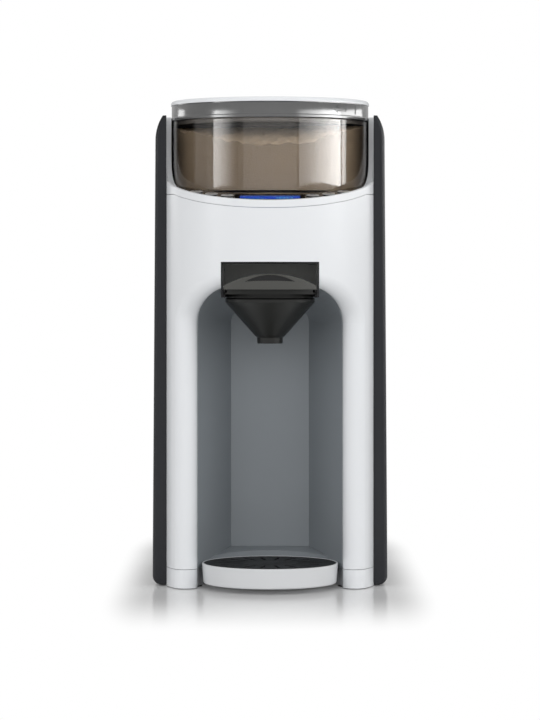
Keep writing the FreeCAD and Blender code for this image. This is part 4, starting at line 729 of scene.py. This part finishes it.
def chamfered(name, size, chamfer, affect):
    """A small bar at the origin with its corners or its edges cut off."""
    clear_selection()
    bpy.ops.mesh.primitive_cube_add(size=1.0, scale=size)
    piece = named(name)
    finished(piece)
    opened(piece)
    bpy.ops.mesh.bevel(offset=chamfer, segments=1, affect=affect)
    bpy.ops.object.mode_set(mode="OBJECT")
    return piece


def copied(piece, shape, place):
    """A copy with its own mesh, shaped and then moved to its place."""
    twin = piece.copy()
    twin.data = piece.data.copy()
    bpy.context.scene.collection.objects.link(twin)
    twin.data.transform(Matrix.Translation(place) @ shape)
    return twin


def joined(name, pieces):
    """Makes one piece of several."""
    clear_selection()
    for piece in pieces:
        piece.select_set(True)
    bpy.context.view_layer.objects.active = pieces[0]
    if len(pieces) > 1:
        bpy.ops.object.join()
    return named(name)


bar = chamfered("figure_bar", (BAR_LENGTH, BAR_WIDTH, BAR_THICKNESS), BAR_WIDTH * BAR_POINT, "VERTICES")
strokes = []
for figure, middle in (("1", 0.0035), ("8", 0.0090), ("0", 0.0145)):
    for side in FIGURES[figure]:
        right, up, turn = BARS[side]
        strokes.append(copied(bar, Matrix.Rotation(math.radians(turn), 4, "Z"),
                              (middle + right * BAR_LENGTH * BAR_STEP, up * FIGURE_HEIGHT / 4, 0.0)))

# A row of five short, thick bars on the left shows the dose.
DOSE_BARS = 5
DOSE_SHAPE = Matrix.Diagonal((0.6, 1.6, 1.0, 1.0))
DOSE_LEFT = -0.0185
DOSE_STEP = 0.0032
DOSE_UP = -0.0026
for step in range(DOSE_BARS):
    strokes.append(copied(bar, DOSE_SHAPE, (DOSE_LEFT + step * DOSE_STEP, DOSE_UP, 0.0)))
figures = joined("display_figures", strokes)
bpy.data.objects.remove(bar)
FIGURES_BACK = 0.0171
FIGURES_BELOW_DECK = 0.00185
laid_on_deck(figures, 0.0, FIGURES_BACK, -FIGURES_BELOW_DECK)
lit_cyan = plastic("lit_cyan", (0.02, 0.1, 0.12), 0.4, cloud=0.05, grain=900.0,
                   Emission_Color=(0.25, 0.85, 1.0, 1.0), Emission_Strength=1.3)
fitted(figures, "housing", lit_cyan)


# The signs on the keys are printed: power, less, more, warmth, dose and start.
KEY_TOP = 0.00115
SIGN_HALF = 0.0017
SIGN_LINE = 0.0004
RING_STEPS = 20


def ring_points(radius, start=0, end=360):
    """Points round a circle from one angle to another, in degrees clockwise from its top."""
    span = [math.radians(start + (end - start) * step / RING_STEPS) for step in range(RING_STEPS + 1)]
    return [(math.sin(turn) * radius, math.cos(turn) * radius) for turn in span]


def open_line(*points):
    """A line through points, with two ends."""
    return points, False


def closed_line(*points):
    """A line through points and back to the first."""
    return points, True


SIGNS = (
    ("power", (open_line(*ring_points(SIGN_HALF, 35, 325)), open_line((0.0, 0.0004), (0.0, 0.0021)))),
    ("less", (open_line((-SIGN_HALF, 0.0), (SIGN_HALF, 0.0)),)),
    ("more", (open_line((-SIGN_HALF, 0.0), (SIGN_HALF, 0.0)),
              open_line((0.0, -SIGN_HALF), (0.0, SIGN_HALF)))),
    ("warmth", tuple(open_line((x, -0.0016), (x + 0.0006, -0.0005), (x - 0.0006, 0.0005), (x, 0.0016))
                     for x in (-0.0013, 0.0, 0.0013))),
    ("dose", (closed_line(*ring_points(0.0011)), open_line((0.0008, -0.0008), (0.0021, -0.0021)))),
    ("start", (closed_line((-0.0011, -0.0016), (-0.0011, 0.0016), (SIGN_HALF, 0.0)),)))
for number, (sign, lines) in enumerate(SIGNS, 1):
    low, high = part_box(f"button_{number}")
    middle = (low + high) / 2
    parts = [drawn_line(f"key_{sign}", points, closed, SIGN_LINE) for points, closed in lines]
    mark = joined(f"key_{sign}", parts)
    mark.data.transform(Matrix.Diagonal((1.0, 1.0, MARK_FLATNESS, 1.0)))
    laid_on_deck(mark, middle.x, middle.y - FRONT_Y, KEY_TOP)
    fitted(mark, f"key_{number}", mark_grey)


# --------------------------------------------------------------------------------------- water tank
# The tank is clear smoke-tinted plastic with a hinged lid, and stands on its white dock behind the
# housing.  A spring valve in its floor meets the dock.
dress(glossy_white, "tank_dock")
dress(smoke_clear, "water_tank", "tank_lid")
dress(black_plastic, "tank_valve")

# Level lines are printed on the tank's right wall, the longer ones at every second step.
TANK_SIDE = 0.0760
LEVEL_FOOT = 0.086
LEVEL_STEP = 0.018
LEVEL_MIDDLE = 0.104
LEVEL_COUNT = 12
LEVEL_LINE = (0.0002, 0.012, 0.0007)
LEVEL_LINE_CHAMFER = 0.00008
SHORT_LINE = 0.55
level_line = chamfered("level_line", LEVEL_LINE, LEVEL_LINE_CHAMFER, "EDGES")
levels = []
for step in range(LEVEL_COUNT):
    length = SHORT_LINE if step % 2 else 1.0
    levels.append(copied(level_line, Matrix.Diagonal((1.0, length, 1.0, 1.0)),
                         (TANK_SIDE, LEVEL_MIDDLE, LEVEL_FOOT + step * LEVEL_STEP)))
bpy.data.objects.remove(level_line)
level_lines = joined("level_lines", levels)
finished(level_lines)
fitted(level_lines, "water_tank_unit", mark_grey)
